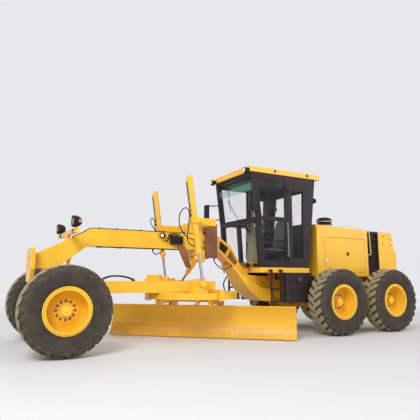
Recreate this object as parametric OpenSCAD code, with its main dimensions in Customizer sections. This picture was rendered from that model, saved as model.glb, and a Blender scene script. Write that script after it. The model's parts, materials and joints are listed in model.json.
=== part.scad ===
// Motor grader: rear frame with cab and engine, gooseneck front frame, drawbar, circle and blade.
// X forward, Y to the machine's left, Z up, millimetres. The ground is at Z = 0.

/* [Wheels] */
// Outer diameter of a tyre over its lugs
tyre_d = 1350; // [1250:10:1400]
// Width of a tyre
tyre_w = 445; // [400:5:460]
// Diameter of a rim where the tyre sits
rim_d = 636; // [620:2:650]
// Distance between the wheel planes of one axle
track = 2150; // [2120:10:2300]
// Distance from the front axle to the middle of the tandem
wheelbase = 6220; // [6150:10:6400]
// Distance between the two wheels of a tandem
tandem_spacing = 1540; // [1500:10:1600]
// Distance of the front axle ahead of the origin
front_axle_x = 3700; // [3600:10:3800]

/* [Front axle] */
// Distance of a kingpin inboard of its wheel's plane
kingpin_in = 175; // [170:1:185]
// Distance of a lean pivot inboard of its kingpin
lean_in = 140; // [138:1:160]
// Half the depth of the axle beam along X
axle_half = 90; // [70:5:92]
// Length of a steering arm
steer_arm = 145; // [140:1:155]
// Height of the lean bar above the hubs
lean_bar_up = 250; // [240:1:255]
// Height of the bolster's pivot above the hubs
bolster_up = 115; // [95:5:125]

/* [Gooseneck] */
// Width of the gooseneck beam
beam_w = 340; // [300:10:380]
// Height of the underside of its level part
beam_z = 1700; // [1680:10:1720]
// Depth of the level part
beam_h = 310; // [280:10:340]
// Distance of the bend behind the front axle
bend_back = 540; // [480:10:600]
// Distance of the nose ahead of the front axle
nose_ahead = 380; // [340:10:420]
// Height of the underside at the nose
nose_z = 1300; // [1270:5:1310]
// Distance of the hitch pin behind the front axle
hitch_back = 4450; // [4400:10:4500]
// Radius of the hitch pin
hitch_pin_r = 45; // [35:1:50]

/* [Cab] */
// Half the width of the cab
cab_half = 740; // [700:5:760]
// Height of the cab floor's underside
cab_floor_z = 1260; // [1240:5:1280]
// Depth of the sill
cab_sill_h = 100; // [80:5:120]
// Height of the top of the roof
cab_top_z = 3420; // [3360:10:3460]
// Depth of the roof
roof_h = 135; // [110:5:150]
// Distance of the cab's foot behind the front axle, at the front
cab_front_back = 3740; // [3730:5:3760]
// Thickness of the cab's posts and walls
post_t = 60; // [45:5:70]

/* [Hood] */
// Half the width of the hood
hood_half = 550; // [500:10:600]
// Height of the hood's underside
hood_z = 1190; // [1150:10:1230]
// Height of its top at the cab
hood_top_z = 2345; // [2300:5:2380]
// Drop of its top towards the rear
hood_drop = 110; // [60:10:130]
// Thickness of the hood's panels
panel_t = 30; // [20:2:40]

/* [Drawbar, circle and blade] */
// Distance of the circle's centre behind the front axle
circle_back = 2600; // [2580:5:2640]
// Outer radius of the circle
circle_r = 900; // [880:5:920]
// Depth of the circle's ring
circle_h = 120; // [100:5:130]
// Height of the ring's underside
circle_z = 760; // [750:5:780]
// Depth of the drawbar's beams
drawbar_h = 210; // [180:5:230]
// Distance of the drawbar's ball behind the front axle
ball_back = 360; // [350:5:380]
// Height of the drawbar's ball
ball_z = 950; // [930:5:970]
// Radius of the ball
ball_r = 70; // [60:1:75]
// Angle of the blade from straight ahead
blade_turn = 40.8; // [35:0.1:45]
// Length of the blade
blade_l = 3720; // [3600:10:3760]
// Height of the blade with its cutting edge
blade_h = 600; // [560:5:602]
// Depth of the blade's hollow
blade_sag = 120; // [90:5:140]
// Thickness of the blade
blade_t = 20; // [14:1:24]
// Distance that the blade stands shifted to the left
blade_shift = 165; // [150:1:180]

/* [Cylinders] */
// Radius of a lift cylinder's barrel
lift_barrel_r = 53; // [45:1:55]
// Radius of a lift cylinder's rod
lift_rod_r = 28; // [22:1:32]
// Half the distance between the lift cylinders
lift_half = 850; // [840:1:865]
// Height of the lift cylinders' trunnions
trunnion_z = 2190; // [2170:5:2210]

/* [Hidden] */

yellow = [0.93, 0.72, 0.14];
black = [0.10, 0.10, 0.11];
dark = [0.20, 0.18, 0.16];
steel = [0.62, 0.62, 0.60];
glass = [0.45, 0.55, 0.52, 0.4];
rubber = [0.16, 0.15, 0.14];
beige = [0.72, 0.66, 0.54];

// Clearance of a running fit, of pieces that pass each other, and of curved faces that meet
run = 0.1;
pass = 6;
seat_gap = 0.3;

left = 1;
right = -1;
hub_z = tyre_d / 2;
half_track = track / 2;
tandem_x = front_axle_x - wheelbase;
mid_x = tandem_x + tandem_spacing / 2;
rear_x = tandem_x - tandem_spacing / 2;
hitch_x = front_axle_x - hitch_back;
circle_x = front_axle_x - circle_back;
ball_x = front_axle_x - ball_back;

// Points of an arc, as [x, y], by its centre, radius, first and last angle and number of steps
function arc(cx, cy, r, a0, a1, n) =
    [for (i = [0 : n]) [cx + r * cos(a0 + (a1 - a0) * i / n), cy + r * sin(a0 + (a1 - a0) * i / n)]];

// A profile of [x, z] points, extruded along Y between two distances
module along_y(y0, y1) {
    translate([0, y1, 0]) rotate([90, 0, 0]) linear_extrude(height = y1 - y0) children();
}

// A profile of [y, z] points, extruded along X between two distances
module along_x(x0, x1) {
    translate([x0, 0, 0]) rotate([90, 0, 90]) linear_extrude(height = x1 - x0) children();
}

// A cylinder along Y, or along X, between two distances
module rod_y(x, z, y0, y1, r) {
    translate([x, y0, z]) rotate([-90, 0, 0]) cylinder(r = r, h = y1 - y0, $fn = 48);
}
module rod_x(y, z, x0, x1, r) {
    translate([x0, y, z]) rotate([0, 90, 0]) cylinder(r = r, h = x1 - x0, $fn = 48);
}

// A flat rectangle with round corners, by its half height, half width and corner radius
module round_box(a, b, r) {
    polygon(concat(
        arc(a - r, b - r, r, 0, 90, 4), arc(r - a, b - r, r, 90, 180, 4),
        arc(r - a, r - b, r, 180, 270, 4), arc(a - r, r - b, r, 270, 360, 4)));
}

// A block by its lowest and its highest corner
module block(a, b) {
    translate(a) cube(b - a);
}

// A piece made once for the left side and mirrored for the right one
module on_side(side) {
    if (side == left) children();
    else mirror([0, 1, 0]) children();
}
module both_sides() {
    children();
    mirror([0, 1, 0]) children();
}

// Wheels

rim_r = rim_d / 2;
bead_half = tyre_w * 0.37;
flange_h = 37;
flange_t = 15;
barrel_t = 18;
hub_r = 110;
spindle_r = 45;
drive_spindle_r = 60;
disc_t = 24;
hub_in = 88;
hub_out = 60;
cap_r = 80;
disc_in = 100;

lug_count = 26;
lug_gap = 62;
lug_depth = 28;
lug_turn = 32;
lug_start = 70;

module tyre() {
    w = tyre_w / 2;
    r = tyre_d / 2;
    half = [
        [rim_r + seat_gap, bead_half], [rim_r + flange_h + 4, bead_half],
        [(rim_r + r) / 2 - 20, w - 4], [(rim_r + r) / 2 + 30, w], [r - 60, w - 8],
        [r - 22, w - 26], [r - 6, w - 62], [r, w - 120]
    ];
    lower = [for (i = [len(half) - 1 : -1 : 0]) [half[i][0], -half[i][1]]];
    color(rubber) difference() {
        rotate([-90, 0, 0]) rotate_extrude($fn = 72) polygon(concat(half, lower));
        // Gaps between the lugs, slanted across the tread and staggered from side to side
        for (s = [-1, 1], i = [0 : lug_count - 1]) rotate([0, (i + (s > 0 ? 0.5 : 0)) * 360 / lug_count, 0])
            rotate([s * lug_turn, 0, 0]) translate([0, 0, -lug_gap / 2]) linear_extrude(height = lug_gap) polygon([
                [r - lug_depth, s * lug_start], [r - lug_depth, s * (w - 40)],
                [r - 95, s * (w + 60)], [r + 60, s * (w + 60)], [r + 60, s * lug_start]]);
    }
}

// The disc is dished towards the outside, which is +Y
module rim(bore_r) {
    inner = rim_r - barrel_t;
    seat = bead_half + seat_gap;
    edge = seat + flange_t;
    lip = rim_r + flange_h;
    dish = disc_in - 60;
    color(yellow) rotate([-90, 0, 0]) difference() {
        rotate_extrude($fn = 72) polygon([
            [inner, edge], [lip, edge], [lip, seat], [rim_r, seat],
            [rim_r, -seat], [lip, -seat], [lip, -edge], [inner, -edge],
            [inner, -disc_in], [rim_r - 60, 10 - disc_in], [hub_r + 50, -dish], [hub_r, -dish],
            [hub_r, -hub_in], [0, -hub_in], [0, hub_out], [cap_r, hub_out], [cap_r, 0],
            [hub_r, 0], [hub_r, disc_t - dish], [hub_r + 45, disc_t - dish],
            [rim_r - 65, 10 - disc_in + disc_t], [inner, disc_t - disc_in]
        ]);
        translate([0, 0, -hub_in - 1]) cylinder(r = bore_r + run, h = hub_in + 51, $fn = 48);
    }
}

module wheel_at(x, side) {
    translate([x, 0, hub_z]) on_side(side) translate([0, half_track, 0]) children();
}

// Front axle, lean brackets and steering knuckles

kingpin_y = half_track - kingpin_in;
lean_y = kingpin_y - lean_in;
lean_pin_r = 35;
axle_end_r = 62;
fork_t = 25;
fork_x = axle_half + pass;
king_r = 25;
king_boss_r = 44;
boss_half = 90;
jaw_t = 35;
bolster_z = hub_z + bolster_up;
bolster_r = 75;
bolster_half = 190;
bar_half = 18;
bar_depth = 50;
bar_pin_r = 18;
tie_r = 18;
tie_ball_r = tie_r + 6;
tie_z = hub_z - boss_half - pass - jaw_t / 2;

module front_axle() {
    color(dark) translate([front_axle_x, 0, 0]) difference() {
        union() {
            along_x(-axle_half, axle_half) polygon(concat(
                [[-lean_y, hub_z - axle_end_r], [-lean_y + 200, hub_z - axle_end_r],
                 [-360, bolster_z - 100], [360, bolster_z - 100],
                 [lean_y - 200, hub_z - axle_end_r], [lean_y, hub_z - axle_end_r],
                 [lean_y, hub_z + axle_end_r], [lean_y - 160, hub_z + axle_end_r + 20]],
                [[300, bolster_z + bolster_r], [-300, bolster_z + bolster_r],
                 [-lean_y + 160, hub_z + axle_end_r + 20], [-lean_y, hub_z + axle_end_r]]));
            for (s = [-1, 1]) rod_x(s * lean_y, hub_z, -axle_half, axle_half, axle_end_r);
            rod_x(0, bolster_z, -bolster_half, bolster_half, bolster_r);
        }
        for (s = [-1, 1]) rod_x(s * lean_y, hub_z, -axle_half - 1, axle_half + 1, lean_pin_r + run);
    }
}

module lean_bracket(side) {
    web_y = lean_y + axle_end_r + pass + 3;
    top = hub_z + lean_bar_up;
    color(dark) translate([front_axle_x, 0, 0]) on_side(side) difference() {
        union() {
            for (x0 = [fork_x, -fork_x - fork_t]) {
                rod_x(lean_y, hub_z, x0, x0 + fork_t, axle_end_r + 8);
                block([x0, lean_y, hub_z - 55], [x0 + fork_t, web_y + 20, hub_z + 100]);
                block([x0, lean_y - 30, hub_z], [x0 + fork_t, lean_y + 30, hub_z + 110]);
            }
            block([-fork_x - fork_t, web_y, hub_z - 55], [fork_x + fork_t, web_y + 20, hub_z + 70]);
            block([-fork_x - fork_t, lean_y - 30, hub_z + 90], [fork_x + fork_t, lean_y + 30, hub_z + 110]);
            rod_x(lean_y, hub_z, -fork_x - 1, fork_x + 1, lean_pin_r);
            block([-30, web_y + 1, hub_z - 60], [30, kingpin_y, hub_z + 60]);
            translate([0, kingpin_y, hub_z - boss_half]) cylinder(r = king_boss_r, h = 2 * boss_half, $fn = 48);
            for (x0 = [-bar_half - pass - 20, bar_half + pass]) {
                block([x0, lean_y - 28, hub_z + 100], [x0 + 20, lean_y + 28, top]);
                rod_x(lean_y, top, x0, x0 + 20, 28);
            }
            rod_x(lean_y, top, -bar_half - pass - 20, bar_half + pass + 20, bar_pin_r);
        }
        translate([0, kingpin_y, hub_z - boss_half - 1])
            cylinder(r = king_r + run, h = 2 * boss_half + 2, $fn = 48);
    }
}

module lean_bar() {
    z = hub_z + lean_bar_up;
    color(dark) translate([front_axle_x, 0, 0]) difference() {
        union() {
            block([-bar_half, -lean_y, z - bar_depth / 2], [bar_half, lean_y, z + bar_depth / 2]);
            for (s = [-1, 1]) rod_x(s * lean_y, z, -bar_half, bar_half, 28);
        }
        for (s = [-1, 1]) rod_x(s * lean_y, z, -bar_half - 1, bar_half + 1, bar_pin_r + run);
    }
}

module knuckle(side) {
    jaw_z = boss_half + pass;
    arm_end = steer_arm - tie_ball_r - seat_gap - tie_r;
    color(dark) translate([front_axle_x, 0, hub_z]) on_side(side) union() {
        for (z0 = [-jaw_z - jaw_t, jaw_z]) {
            translate([0, kingpin_y, z0]) cylinder(r = king_boss_r, h = jaw_t, $fn = 48);
            block([-king_boss_r, kingpin_y, z0], [king_boss_r, kingpin_y + 75, z0 + jaw_t]);
        }
        block([-king_boss_r, kingpin_y + 52, -jaw_z - jaw_t], [king_boss_r, kingpin_y + 75, jaw_z + jaw_t]);
        translate([0, kingpin_y, -jaw_z - 1]) cylinder(r = king_r, h = 2 * jaw_z + 2, $fn = 48);
        rod_y(0, 0, kingpin_y + 60, half_track + 45, spindle_r);
        block([-arm_end, kingpin_y - tie_r, -jaw_z - jaw_t], [0, kingpin_y + tie_r, -jaw_z]);
        translate([-arm_end, kingpin_y, -jaw_z - jaw_t]) cylinder(r = tie_r, h = jaw_t, $fn = 48);
    }
}

module tie_rod() {
    color(dark) translate([front_axle_x - steer_arm, 0, 0]) union() {
        rod_y(0, tie_z, -kingpin_y, kingpin_y, tie_r);
        for (s = [-1, 1]) translate([0, s * kingpin_y, tie_z]) sphere(r = tie_ball_r, $fn = 32);
    }
}

// Gooseneck

beam_top = beam_z + beam_h;
bend_x = front_axle_x - bend_back;
nose_h = 234;
nose_x = front_axle_x + nose_ahead;
descent_x = front_axle_x - 3130;
foot_x = front_axle_x - 3745;
foot_z = 1050;
block_end_x = hitch_x + 125;
function nose_top(x) = nose_z + nose_h
    + (beam_top - 70 - nose_z - nose_h) * (nose_x - x) / (nose_x - bend_x - 120);
lug_t = 70;
lug_low_z = 660;
lug_high_z = 1110;
lug_r = 140;

flare_half = 300;
recess_t = 30;

// The box that spreads from the foot of the beam to the hitch, by its side and its plan
module hitch_flare() {
    intersection() {
        along_y(-flare_half, flare_half) polygon([
            [descent_x - 210, foot_z + 370], [descent_x - 370, foot_z + 320], [foot_x + 150, foot_z + 195],
            [foot_x - 295, foot_z - 85], [block_end_x + 25, foot_z - 120], [block_end_x + 25, lug_low_z + 20],
            [foot_x - 330, lug_low_z + 20], [foot_x - 60, foot_z - 185], [foot_x + 45, foot_z - 60],
            [foot_x + 265, foot_z + 260]]);
        linear_extrude(height = beam_z) polygon([
            [descent_x - 210, beam_w / 2], [foot_x + 45, flare_half], [block_end_x, flare_half],
            [block_end_x, -flare_half], [foot_x + 45, -flare_half], [descent_x - 210, -beam_w / 2]]);
    }
}

module front_frame() {
    half = beam_w / 2;
    color(yellow) difference() {
        union() {
            along_y(-half, half) polygon([
                [nose_x, nose_z], [nose_x, nose_z + nose_h], [bend_x + 120, beam_top - 70],
                [bend_x + 50, beam_top - 18], [bend_x - 20, beam_top],
                [descent_x + 90, beam_top], [descent_x, beam_top - 35],
                [descent_x - 270, beam_top - 220], [foot_x + 125, foot_z + 385], [foot_x - 55, foot_z + 195],
                [foot_x - 100, foot_z + 160], [block_end_x, foot_z + 130], [block_end_x, lug_low_z],
                [foot_x - 330, lug_low_z + 20], [foot_x, foot_z], [foot_x + 245, foot_z + 285],
                [descent_x + 60, beam_z + 25], [descent_x + 130, beam_z],
                [bend_x + 55, beam_z], [nose_x - 350, nose_z]
            ]);
            hitch_flare();
            for (z0 = [lug_low_z, lug_high_z]) {
                translate([hitch_x, 0, z0]) cylinder(r = lug_r, h = lug_t, $fn = 64);
                block([hitch_x, -lug_r, z0], [block_end_x + 1, lug_r, z0 + lug_t]);
            }
            for (x0 = [-bolster_half - 25, bolster_half])
                block([front_axle_x + x0, -150, bolster_z - bolster_r],
                      [front_axle_x + x0 + 25, 150, nose_z + 200]);
            rod_x(0, ball_z, ball_x - 25, front_axle_x - bolster_half - 20, ball_r + 35);
        }
        translate([ball_x, 0, ball_z]) sphere(r = ball_r + 2 * seat_gap, $fn = 64);
        translate([hitch_x, 0, lug_low_z - 1])
            cylinder(r = hitch_pin_r + run, h = lug_high_z + lug_t - lug_low_z + 2, $fn = 48);
        // Sunken sides of the descending part, in two bays with a rib between them
        both_sides() along_y(half - recess_t, half + 1) {
            polygon([[descent_x - 20, beam_top - 110], [descent_x - 230, beam_top - 255],
                     [descent_x - 140, beam_top - 400], [descent_x + 10, beam_z + 45]]);
            polygon([[descent_x - 270, beam_top - 290], [foot_x + 170, foot_z + 410],
                     [foot_x + 245, foot_z + 350], [descent_x - 175, beam_top - 435]]);
        }
    }
}

module front_plate() {
    half = 360;
    narrow = 250;
    low = nose_z - 225;
    high = nose_z + 335;
    hole_y = 205;
    hole_z = 110;
    z_mid = nose_z + 55;
    color(yellow) difference() {
        along_x(nose_x + seat_gap, nose_x + 60) polygon([
            [-narrow, low], [narrow, low], [half, low + 220], [half, high - 40], [half - 40, high],
            [-half + 40, high], [-half, high - 40], [-half, low + 220]]);
        for (y = [-hole_y, hole_y], z = [z_mid - hole_z, z_mid + hole_z])
            rod_x(y, z, nose_x - 1, nose_x + 61, 14);
    }
}

// Two lamps on a bar across the nose; each lamp is a round shell with an open front
module headlamps() {
    x = front_axle_x - 170;
    bar = nose_top(x) + 60;
    lamp_r = 95;
    lamp_y = 700;
    lamp_z = bar + 180;
    color(black) union() {
        along_y(-70, 70) polygon([
            [x - 30, nose_top(x - 30) + seat_gap], [x + 30, nose_top(x + 30) + seat_gap],
            [x + 30, bar + 1], [x - 30, bar + 1]]);
        block([x - 30, -lamp_y - 70, bar], [x + 30, lamp_y + 70, bar + 75]);
        for (s = [-1, 1]) {
            translate([x, s * lamp_y, bar + 74]) cylinder(r = 18, h = 60, $fn = 32);
            translate([x + 70, s * lamp_y, lamp_z]) rotate([0, -90, 0]) rotate_extrude($fn = 48) polygon([
                [0, 25], [lamp_r - 12, 25], [lamp_r - 8, 0], [lamp_r, 0], [lamp_r, 60],
                [lamp_r - 20, 115], [45, 145], [0, 145]]);
        }
    }
}

module valve_block() {
    x = front_axle_x - 2150;
    y0 = beam_w / 2 + seat_gap;
    color(dark) union() {
        block([x - 130, y0, beam_z + 80], [x + 110, y0 + 80, beam_z + 240]);
        for (i = [0 : 3]) rod_y(x - 95 + i * 60, beam_z + 160, y0 + 70, y0 + 110, 20);
    }
}

// Saddle with the arms that hold the lift cylinders

lift_x = front_axle_x - 2230;
eye_x = front_axle_x - 2400;
eye_z = 1050;
lift_tilt = atan((lift_x - eye_x) / (trunnion_z - eye_z));
trunnion_r = 25;
collar_r = lift_barrel_r + 17;
cheek_t = 25;
cheek_y = collar_r + pass;
saddle_x = front_axle_x - 2650;
plate_x0 = front_axle_x - 3060;
plate_x1 = front_axle_x - 2800;

module lift_saddle() {
    half = beam_w / 2 + seat_gap;
    arm_y = lift_half - cheek_y - cheek_t;
    back_x = lift_x - collar_r - 45;
    color(yellow) both_sides() difference() {
        union() {
            // Clamp round the beam, with two lugs below it
            block([saddle_x - 75, half, beam_z - 90], [saddle_x + 75, half + 35, trunnion_z - 60]);
            block([saddle_x - 75, -1, beam_top + seat_gap], [saddle_x + 75, half + 35, trunnion_z - 50]);
            block([saddle_x - 130, -1, beam_z - 110], [saddle_x + 75, half + 35, beam_z - seat_gap]);
            along_y(half - 60, half + 35) polygon([
                [saddle_x - 130, beam_z - 109], [saddle_x - 140, beam_z - 230], [saddle_x - 50, beam_z - 270],
                [saddle_x + 10, beam_z - 180], [saddle_x + 50, beam_z - 109]]);
            // Arm out to the side and forward to the trunnion
            along_x(saddle_x - 70, saddle_x + 70) polygon([
                [-1, trunnion_z - 60], [half + 35, trunnion_z - 60], [arm_y + cheek_t, trunnion_z - 75],
                [arm_y + cheek_t, trunnion_z + 60], [half, trunnion_z + 75], [-1, trunnion_z + 75]]);
            block([saddle_x, arm_y - 30, trunnion_z - 75], [back_x + 1, arm_y + cheek_t, trunnion_z + 60]);
            block([back_x, arm_y - 30, trunnion_z - 65], [lift_x, arm_y + cheek_t, trunnion_z + 55]);
            for (y0 = [arm_y, lift_half + cheek_y]) rod_y(lift_x, trunnion_z, y0, y0 + cheek_t, 60);
            block([back_x, arm_y, trunnion_z - 40],
                  [lift_x - collar_r - 12, lift_half + cheek_y + cheek_t, trunnion_z + 40]);
            block([back_x, lift_half + cheek_y, trunnion_z - 40],
                  [lift_x, lift_half + cheek_y + cheek_t, trunnion_z + 40]);
        }
        rod_y(lift_x, trunnion_z, arm_y - 31, lift_half + cheek_y + cheek_t + 1, trunnion_r + run);
    }
}

// Plates beside the beam, and the arm that hangs from it and holds the centre shift cylinder
module shift_yoke() {
    half = beam_w / 2 + seat_gap;
    color(dark) difference() {
        union() {
            both_sides() {
                block([plate_x0, half, beam_z - 160], [plate_x1, half + 35, beam_top + 230]);
                for (z = [beam_z + 20, beam_z + 140, beam_top + 60])
                    block([plate_x1 - 1, half, z], [saddle_x - 75 - seat_gap, half + 30, z + 45]);
            }
            block([plate_x0, -half - 1, beam_top + seat_gap], [plate_x1, half + 1, beam_top + 50]);
            along_y(half, half + 60) polygon([
                [shift_x + 180, beam_z + 65], [shift_x + 300, beam_z + 45], [shift_x + 240, beam_z - 110],
                [shift_x + shift_arm_x1 + 10, shift_top[1] - 40], [shift_x + shift_arm_x0, shift_top[1] - 30],
                [shift_x + shift_arm_x0, shift_top[1] + 60], [shift_x + 110, beam_z - 80]]);
            rod_x(shift_top[0], shift_top[1], shift_x + shift_arm_x0, shift_x + shift_arm_x1, 55);
        }
        rod_x(shift_top[0], shift_top[1], shift_x + shift_arm_x0 - 1, shift_x + shift_arm_x1 + 12, shift_pin_r + run);
    }
}

// Lift cylinders, with their trunnion at the origin and the rod pointing down
barrel_up = 820;
barrel_down = 605;
rod_in = 115;
lift_len = norm([lift_x - eye_x, trunnion_z - eye_z]);

module lift_barrel(side) {
    color(yellow) on_side(side) translate([lift_x, lift_half, trunnion_z]) rotate([0, lift_tilt, 0]) union() {
        difference() {
            union() {
                translate([0, 0, -barrel_down]) cylinder(r = lift_barrel_r, h = barrel_down + barrel_up, $fn = 48);
                translate([0, 0, -50]) cylinder(r = collar_r, h = 100, $fn = 48);
                translate([0, 0, -barrel_down]) cylinder(r = lift_barrel_r + 8, h = 60, $fn = 48);
                // Pipe along the barrel, ahead of it, with its two ports
                translate([lift_barrel_r + 22, 0, 90]) cylinder(r = 9, h = barrel_up - 140, $fn = 24);
                for (z = [100, barrel_up - 60]) translate([0, 0, z]) rod_x(0, 0, lift_barrel_r - 4, lift_barrel_r + 34, 13);
            }
            translate([0, 0, -barrel_down - 1]) cylinder(r = lift_rod_r + run, h = 62, $fn = 48);
            translate([0, 0, -barrel_down + 60]) cylinder(r = lift_barrel_r - 8, h = barrel_up + barrel_down - 80, $fn = 48);
        }
        for (s = [-1, 1]) rod_y(0, 0, s > 0 ? lift_barrel_r : -cheek_y - cheek_t, s > 0 ? cheek_y + cheek_t : -lift_barrel_r, trunnion_r);
    }
}

module lift_rod(side) {
    color(steel) on_side(side) translate([lift_x, lift_half, trunnion_z]) rotate([0, lift_tilt, 0]) union() {
        translate([0, 0, -lift_len]) cylinder(r = lift_rod_r, h = lift_len + rod_in, $fn = 48);
        rod_y(0, -lift_len, -30, 30, 60);
    }
}

// Centre shift cylinder, in the plane across the machine, on a stub pin at the arm's foot
shift_x = front_axle_x - 2500;
shift_top = [200, 1400];
shift_eye = [-300, 1060];
shift_eye_half = 25;
shift_len = norm(shift_top - shift_eye);
shift_turn = atan2(shift_top[0] - shift_eye[0], shift_top[1] - shift_eye[1]);
shift_r = 48;
shift_up = 240;
shift_down = 260;
shift_rod_in = 55;
shift_pin_r = 25;
shift_arm_x0 = 62;
shift_arm_x1 = 118;

module in_shift() {
    translate([shift_x, shift_top[0], shift_top[1]]) rotate([-shift_turn, 0, 0]) children();
}
module shift_barrel() {
    color(yellow) in_shift() difference() {
        union() {
            translate([0, 0, -shift_down]) cylinder(r = shift_r, h = shift_up + shift_down, $fn = 48);
            translate([0, 0, -45]) cylinder(r = shift_r + 8, h = 90, $fn = 48);
            rod_x(0, 0, 44, shift_arm_x1, shift_pin_r);
            translate([-shift_r - 30, 0, shift_up - 40]) rotate([0, 90, 0]) cylinder(r = 16, h = 60, $fn = 32);
        }
        translate([0, 0, -shift_down - 1]) cylinder(r = 24 + run, h = 52, $fn = 48);
        translate([0, 0, -shift_down + 50]) cylinder(r = 40, h = shift_up + shift_down - 70, $fn = 48);
    }
}
module shift_rod() {
    color(steel) in_shift() union() {
        translate([0, 0, -shift_len]) cylinder(r = 24, h = shift_len + shift_rod_in, $fn = 48);
        rod_x(0, -shift_len, -shift_eye_half, shift_eye_half, 45);
    }
}

// Drawbar with the circle drive

ring_top = circle_z + circle_h;
bar_z = ring_top + seat_gap;
drawbar_tail = circle_back + 200;
shoe_r = circle_r + 8;

module drawbar() {
    x_of = function(back) front_axle_x - back;
    eye_low = shift_eye_half + 1.1;
    eye_high = shift_eye_half + 8;
    color(yellow) difference() {
        union() {
            translate([ball_x, 0, ball_z]) sphere(r = ball_r, $fn = 64);
            rod_x(0, ball_z, x_of(620), ball_x - 30, 40);
            translate([0, 0, bar_z]) linear_extrude(height = drawbar_h) difference() {
                polygon([
                    [x_of(520), 70], [x_of(circle_back - 150), 560], [x_of(drawbar_tail), 600],
                    [x_of(drawbar_tail), -600], [x_of(circle_back - 150), -560], [x_of(520), -70]]);
                polygon([[x_of(820), 25], [x_of(1400), 170], [x_of(1400), -170], [x_of(820), -25]]);
                polygon([
                    [x_of(1980), 315], [x_of(circle_back - 200), 425], [x_of(drawbar_tail - 170), 450],
                    [x_of(drawbar_tail - 170), -450], [x_of(circle_back - 200), -425], [x_of(1980), -315]]);
            }
            // Wings and the shoes that hook under the ring
            both_sides() {
                block([x_of(drawbar_tail), 590, bar_z], [x_of(drawbar_tail - 100), shoe_r + 40, bar_z + 60]);
                block([x_of(drawbar_tail), shoe_r, circle_z - 25], [x_of(drawbar_tail - 100), shoe_r + 40, bar_z + 60]);
                block([x_of(drawbar_tail), circle_r - 25, circle_z - 25],
                      [x_of(drawbar_tail - 100), shoe_r + 40, circle_z - 25 + 18]);
                rod_y(eye_x, eye_z, 540, lift_half - 35, 68);
                along_y(560, lift_half - 45) polygon([
                    [eye_x - 130, bar_z], [eye_x + 150, bar_z], [eye_x + 90, eye_z + 75], [eye_x - 80, eye_z + 90]]);
            }
            block([circle_x + shoe_r, -90, circle_z - 25], [circle_x + shoe_r + 40, 90, bar_z + 60]);
            block([circle_x + circle_r - 25, -90, circle_z - 25], [circle_x + shoe_r + 40, 90, circle_z - 25 + 18]);
            // Circle drive
            translate([x_of(1800), 0, bar_z]) cylinder(r = 185, h = drawbar_h + 45, $fn = 64);
            translate([x_of(1800), 0, bar_z]) cylinder(r = 140, h = drawbar_h + 115, $fn = 64);
            translate([x_of(2010), 0, bar_z]) cylinder(r = 95, h = drawbar_h + 80, $fn = 48);
            block([x_of(2010), -95, bar_z], [x_of(1800), 95, bar_z + drawbar_h + 45]);
            // Lug of the centre shift cylinder, ahead of the rod's eye, which it passes closest at the bottom
            along_y(shift_eye[0] - 150, shift_eye[0] + 40) polygon([
                [shift_x + eye_low, bar_z], [shift_x + 65, bar_z], [shift_x + 65, shift_eye[1] + 45],
                [shift_x + eye_high, shift_eye[1] + 45], [shift_x + eye_low, shift_eye[1] - 45]]);
        }
    }
}

// Circle with the arms that carry the blade, in the blade's own axes:
// first axis along the blade to its far end, second towards its hollow face

tilt_n = -250;
tilt_z = 330;
tilt_pin_r = 35;
arm_u = 500;
arm_t = 60;
tip_n = -600;
tip_z = 690;
ring_w = 160;

module on_circle() {
    translate([circle_x, 0, 0]) rotate([0, 0, -blade_turn]) children();
}

module circle() {
    color(yellow) on_circle() difference() {
        union() {
            translate([0, 0, circle_z]) difference() {
                cylinder(r = circle_r, h = circle_h, $fn = 128);
                translate([0, 0, -1]) cylinder(r = circle_r - ring_w, h = circle_h + 2, $fn = 128);
            }
            for (u = [-arm_u, arm_u]) along_x(u - arm_t / 2, u + arm_t / 2) polygon(concat(
                [[640, circle_z + 1], [-670, circle_z + 1], [-670, circle_z - 90], [tilt_n - 140, tilt_z]],
                arc(tilt_n, tilt_z, 75, 180, 360, 16),
                [[tilt_n + 75, circle_z - 105], [640, circle_z - 105]]));
            rod_x(tip_n, tip_z, -arm_u, arm_u, 42);
        }
        for (u = [-arm_u, arm_u]) rod_x(tilt_n, tilt_z, u - arm_t, u + arm_t, tilt_pin_r + run);
    }
}

// Blade: its hollow face is an arc, its back carries two rails
edge_n = 65;
blade_mid_z = 12 + blade_h / 2;
blade_rr = (pow(blade_h / 2, 2) + pow(blade_sag, 2)) / (2 * blade_sag);
blade_half_angle = asin(blade_h / 2 / blade_rr);
face_n = edge_n - blade_sag + blade_rr;
rail_dz = 190;
rail_h = 40;
rail_n0 = -95;
blade_u0 = -blade_l / 2 - blade_shift;
blade_u1 = blade_l / 2 - blade_shift;
edge_h = 200;
bit_l = 140;

module blade() {
    a = blade_half_angle;
    cut = asin((blade_h / 2 - 30) / (blade_rr + blade_t));
    color(yellow) on_circle() union() {
        along_x(blade_u0, blade_u1) difference() {
            polygon(concat(
                arc(face_n, blade_mid_z, blade_rr, 180 - a, 180 + cut, 24),
                arc(face_n, blade_mid_z, blade_rr + blade_t, 180 + cut, 180 - a, 24)));
        }
        for (s = [-1, 1]) block([blade_u0 + 60, rail_n0, blade_mid_z + s * rail_dz - rail_h / 2],
                                [blade_u1 - 60, -25, blade_mid_z + s * rail_dz + rail_h / 2]);
        for (u = [-1800, -1330, 970, 1400]) along_x(u - 8, u + 8) polygon([
            [-80, blade_mid_z - rail_dz], [rail_n0, blade_mid_z - rail_dz],
            [rail_n0, blade_mid_z + rail_dz], [-72, blade_mid_z + rail_dz], [-60, blade_mid_z]]);
        // Lug and rod of the side shift cylinder
        block([-1640, side_n - 45, side_z - 45], [-1600, -60, side_z + 45]);
        rod_x(side_n, side_z, -1601, -180, side_rod_r);
    }
}

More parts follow.
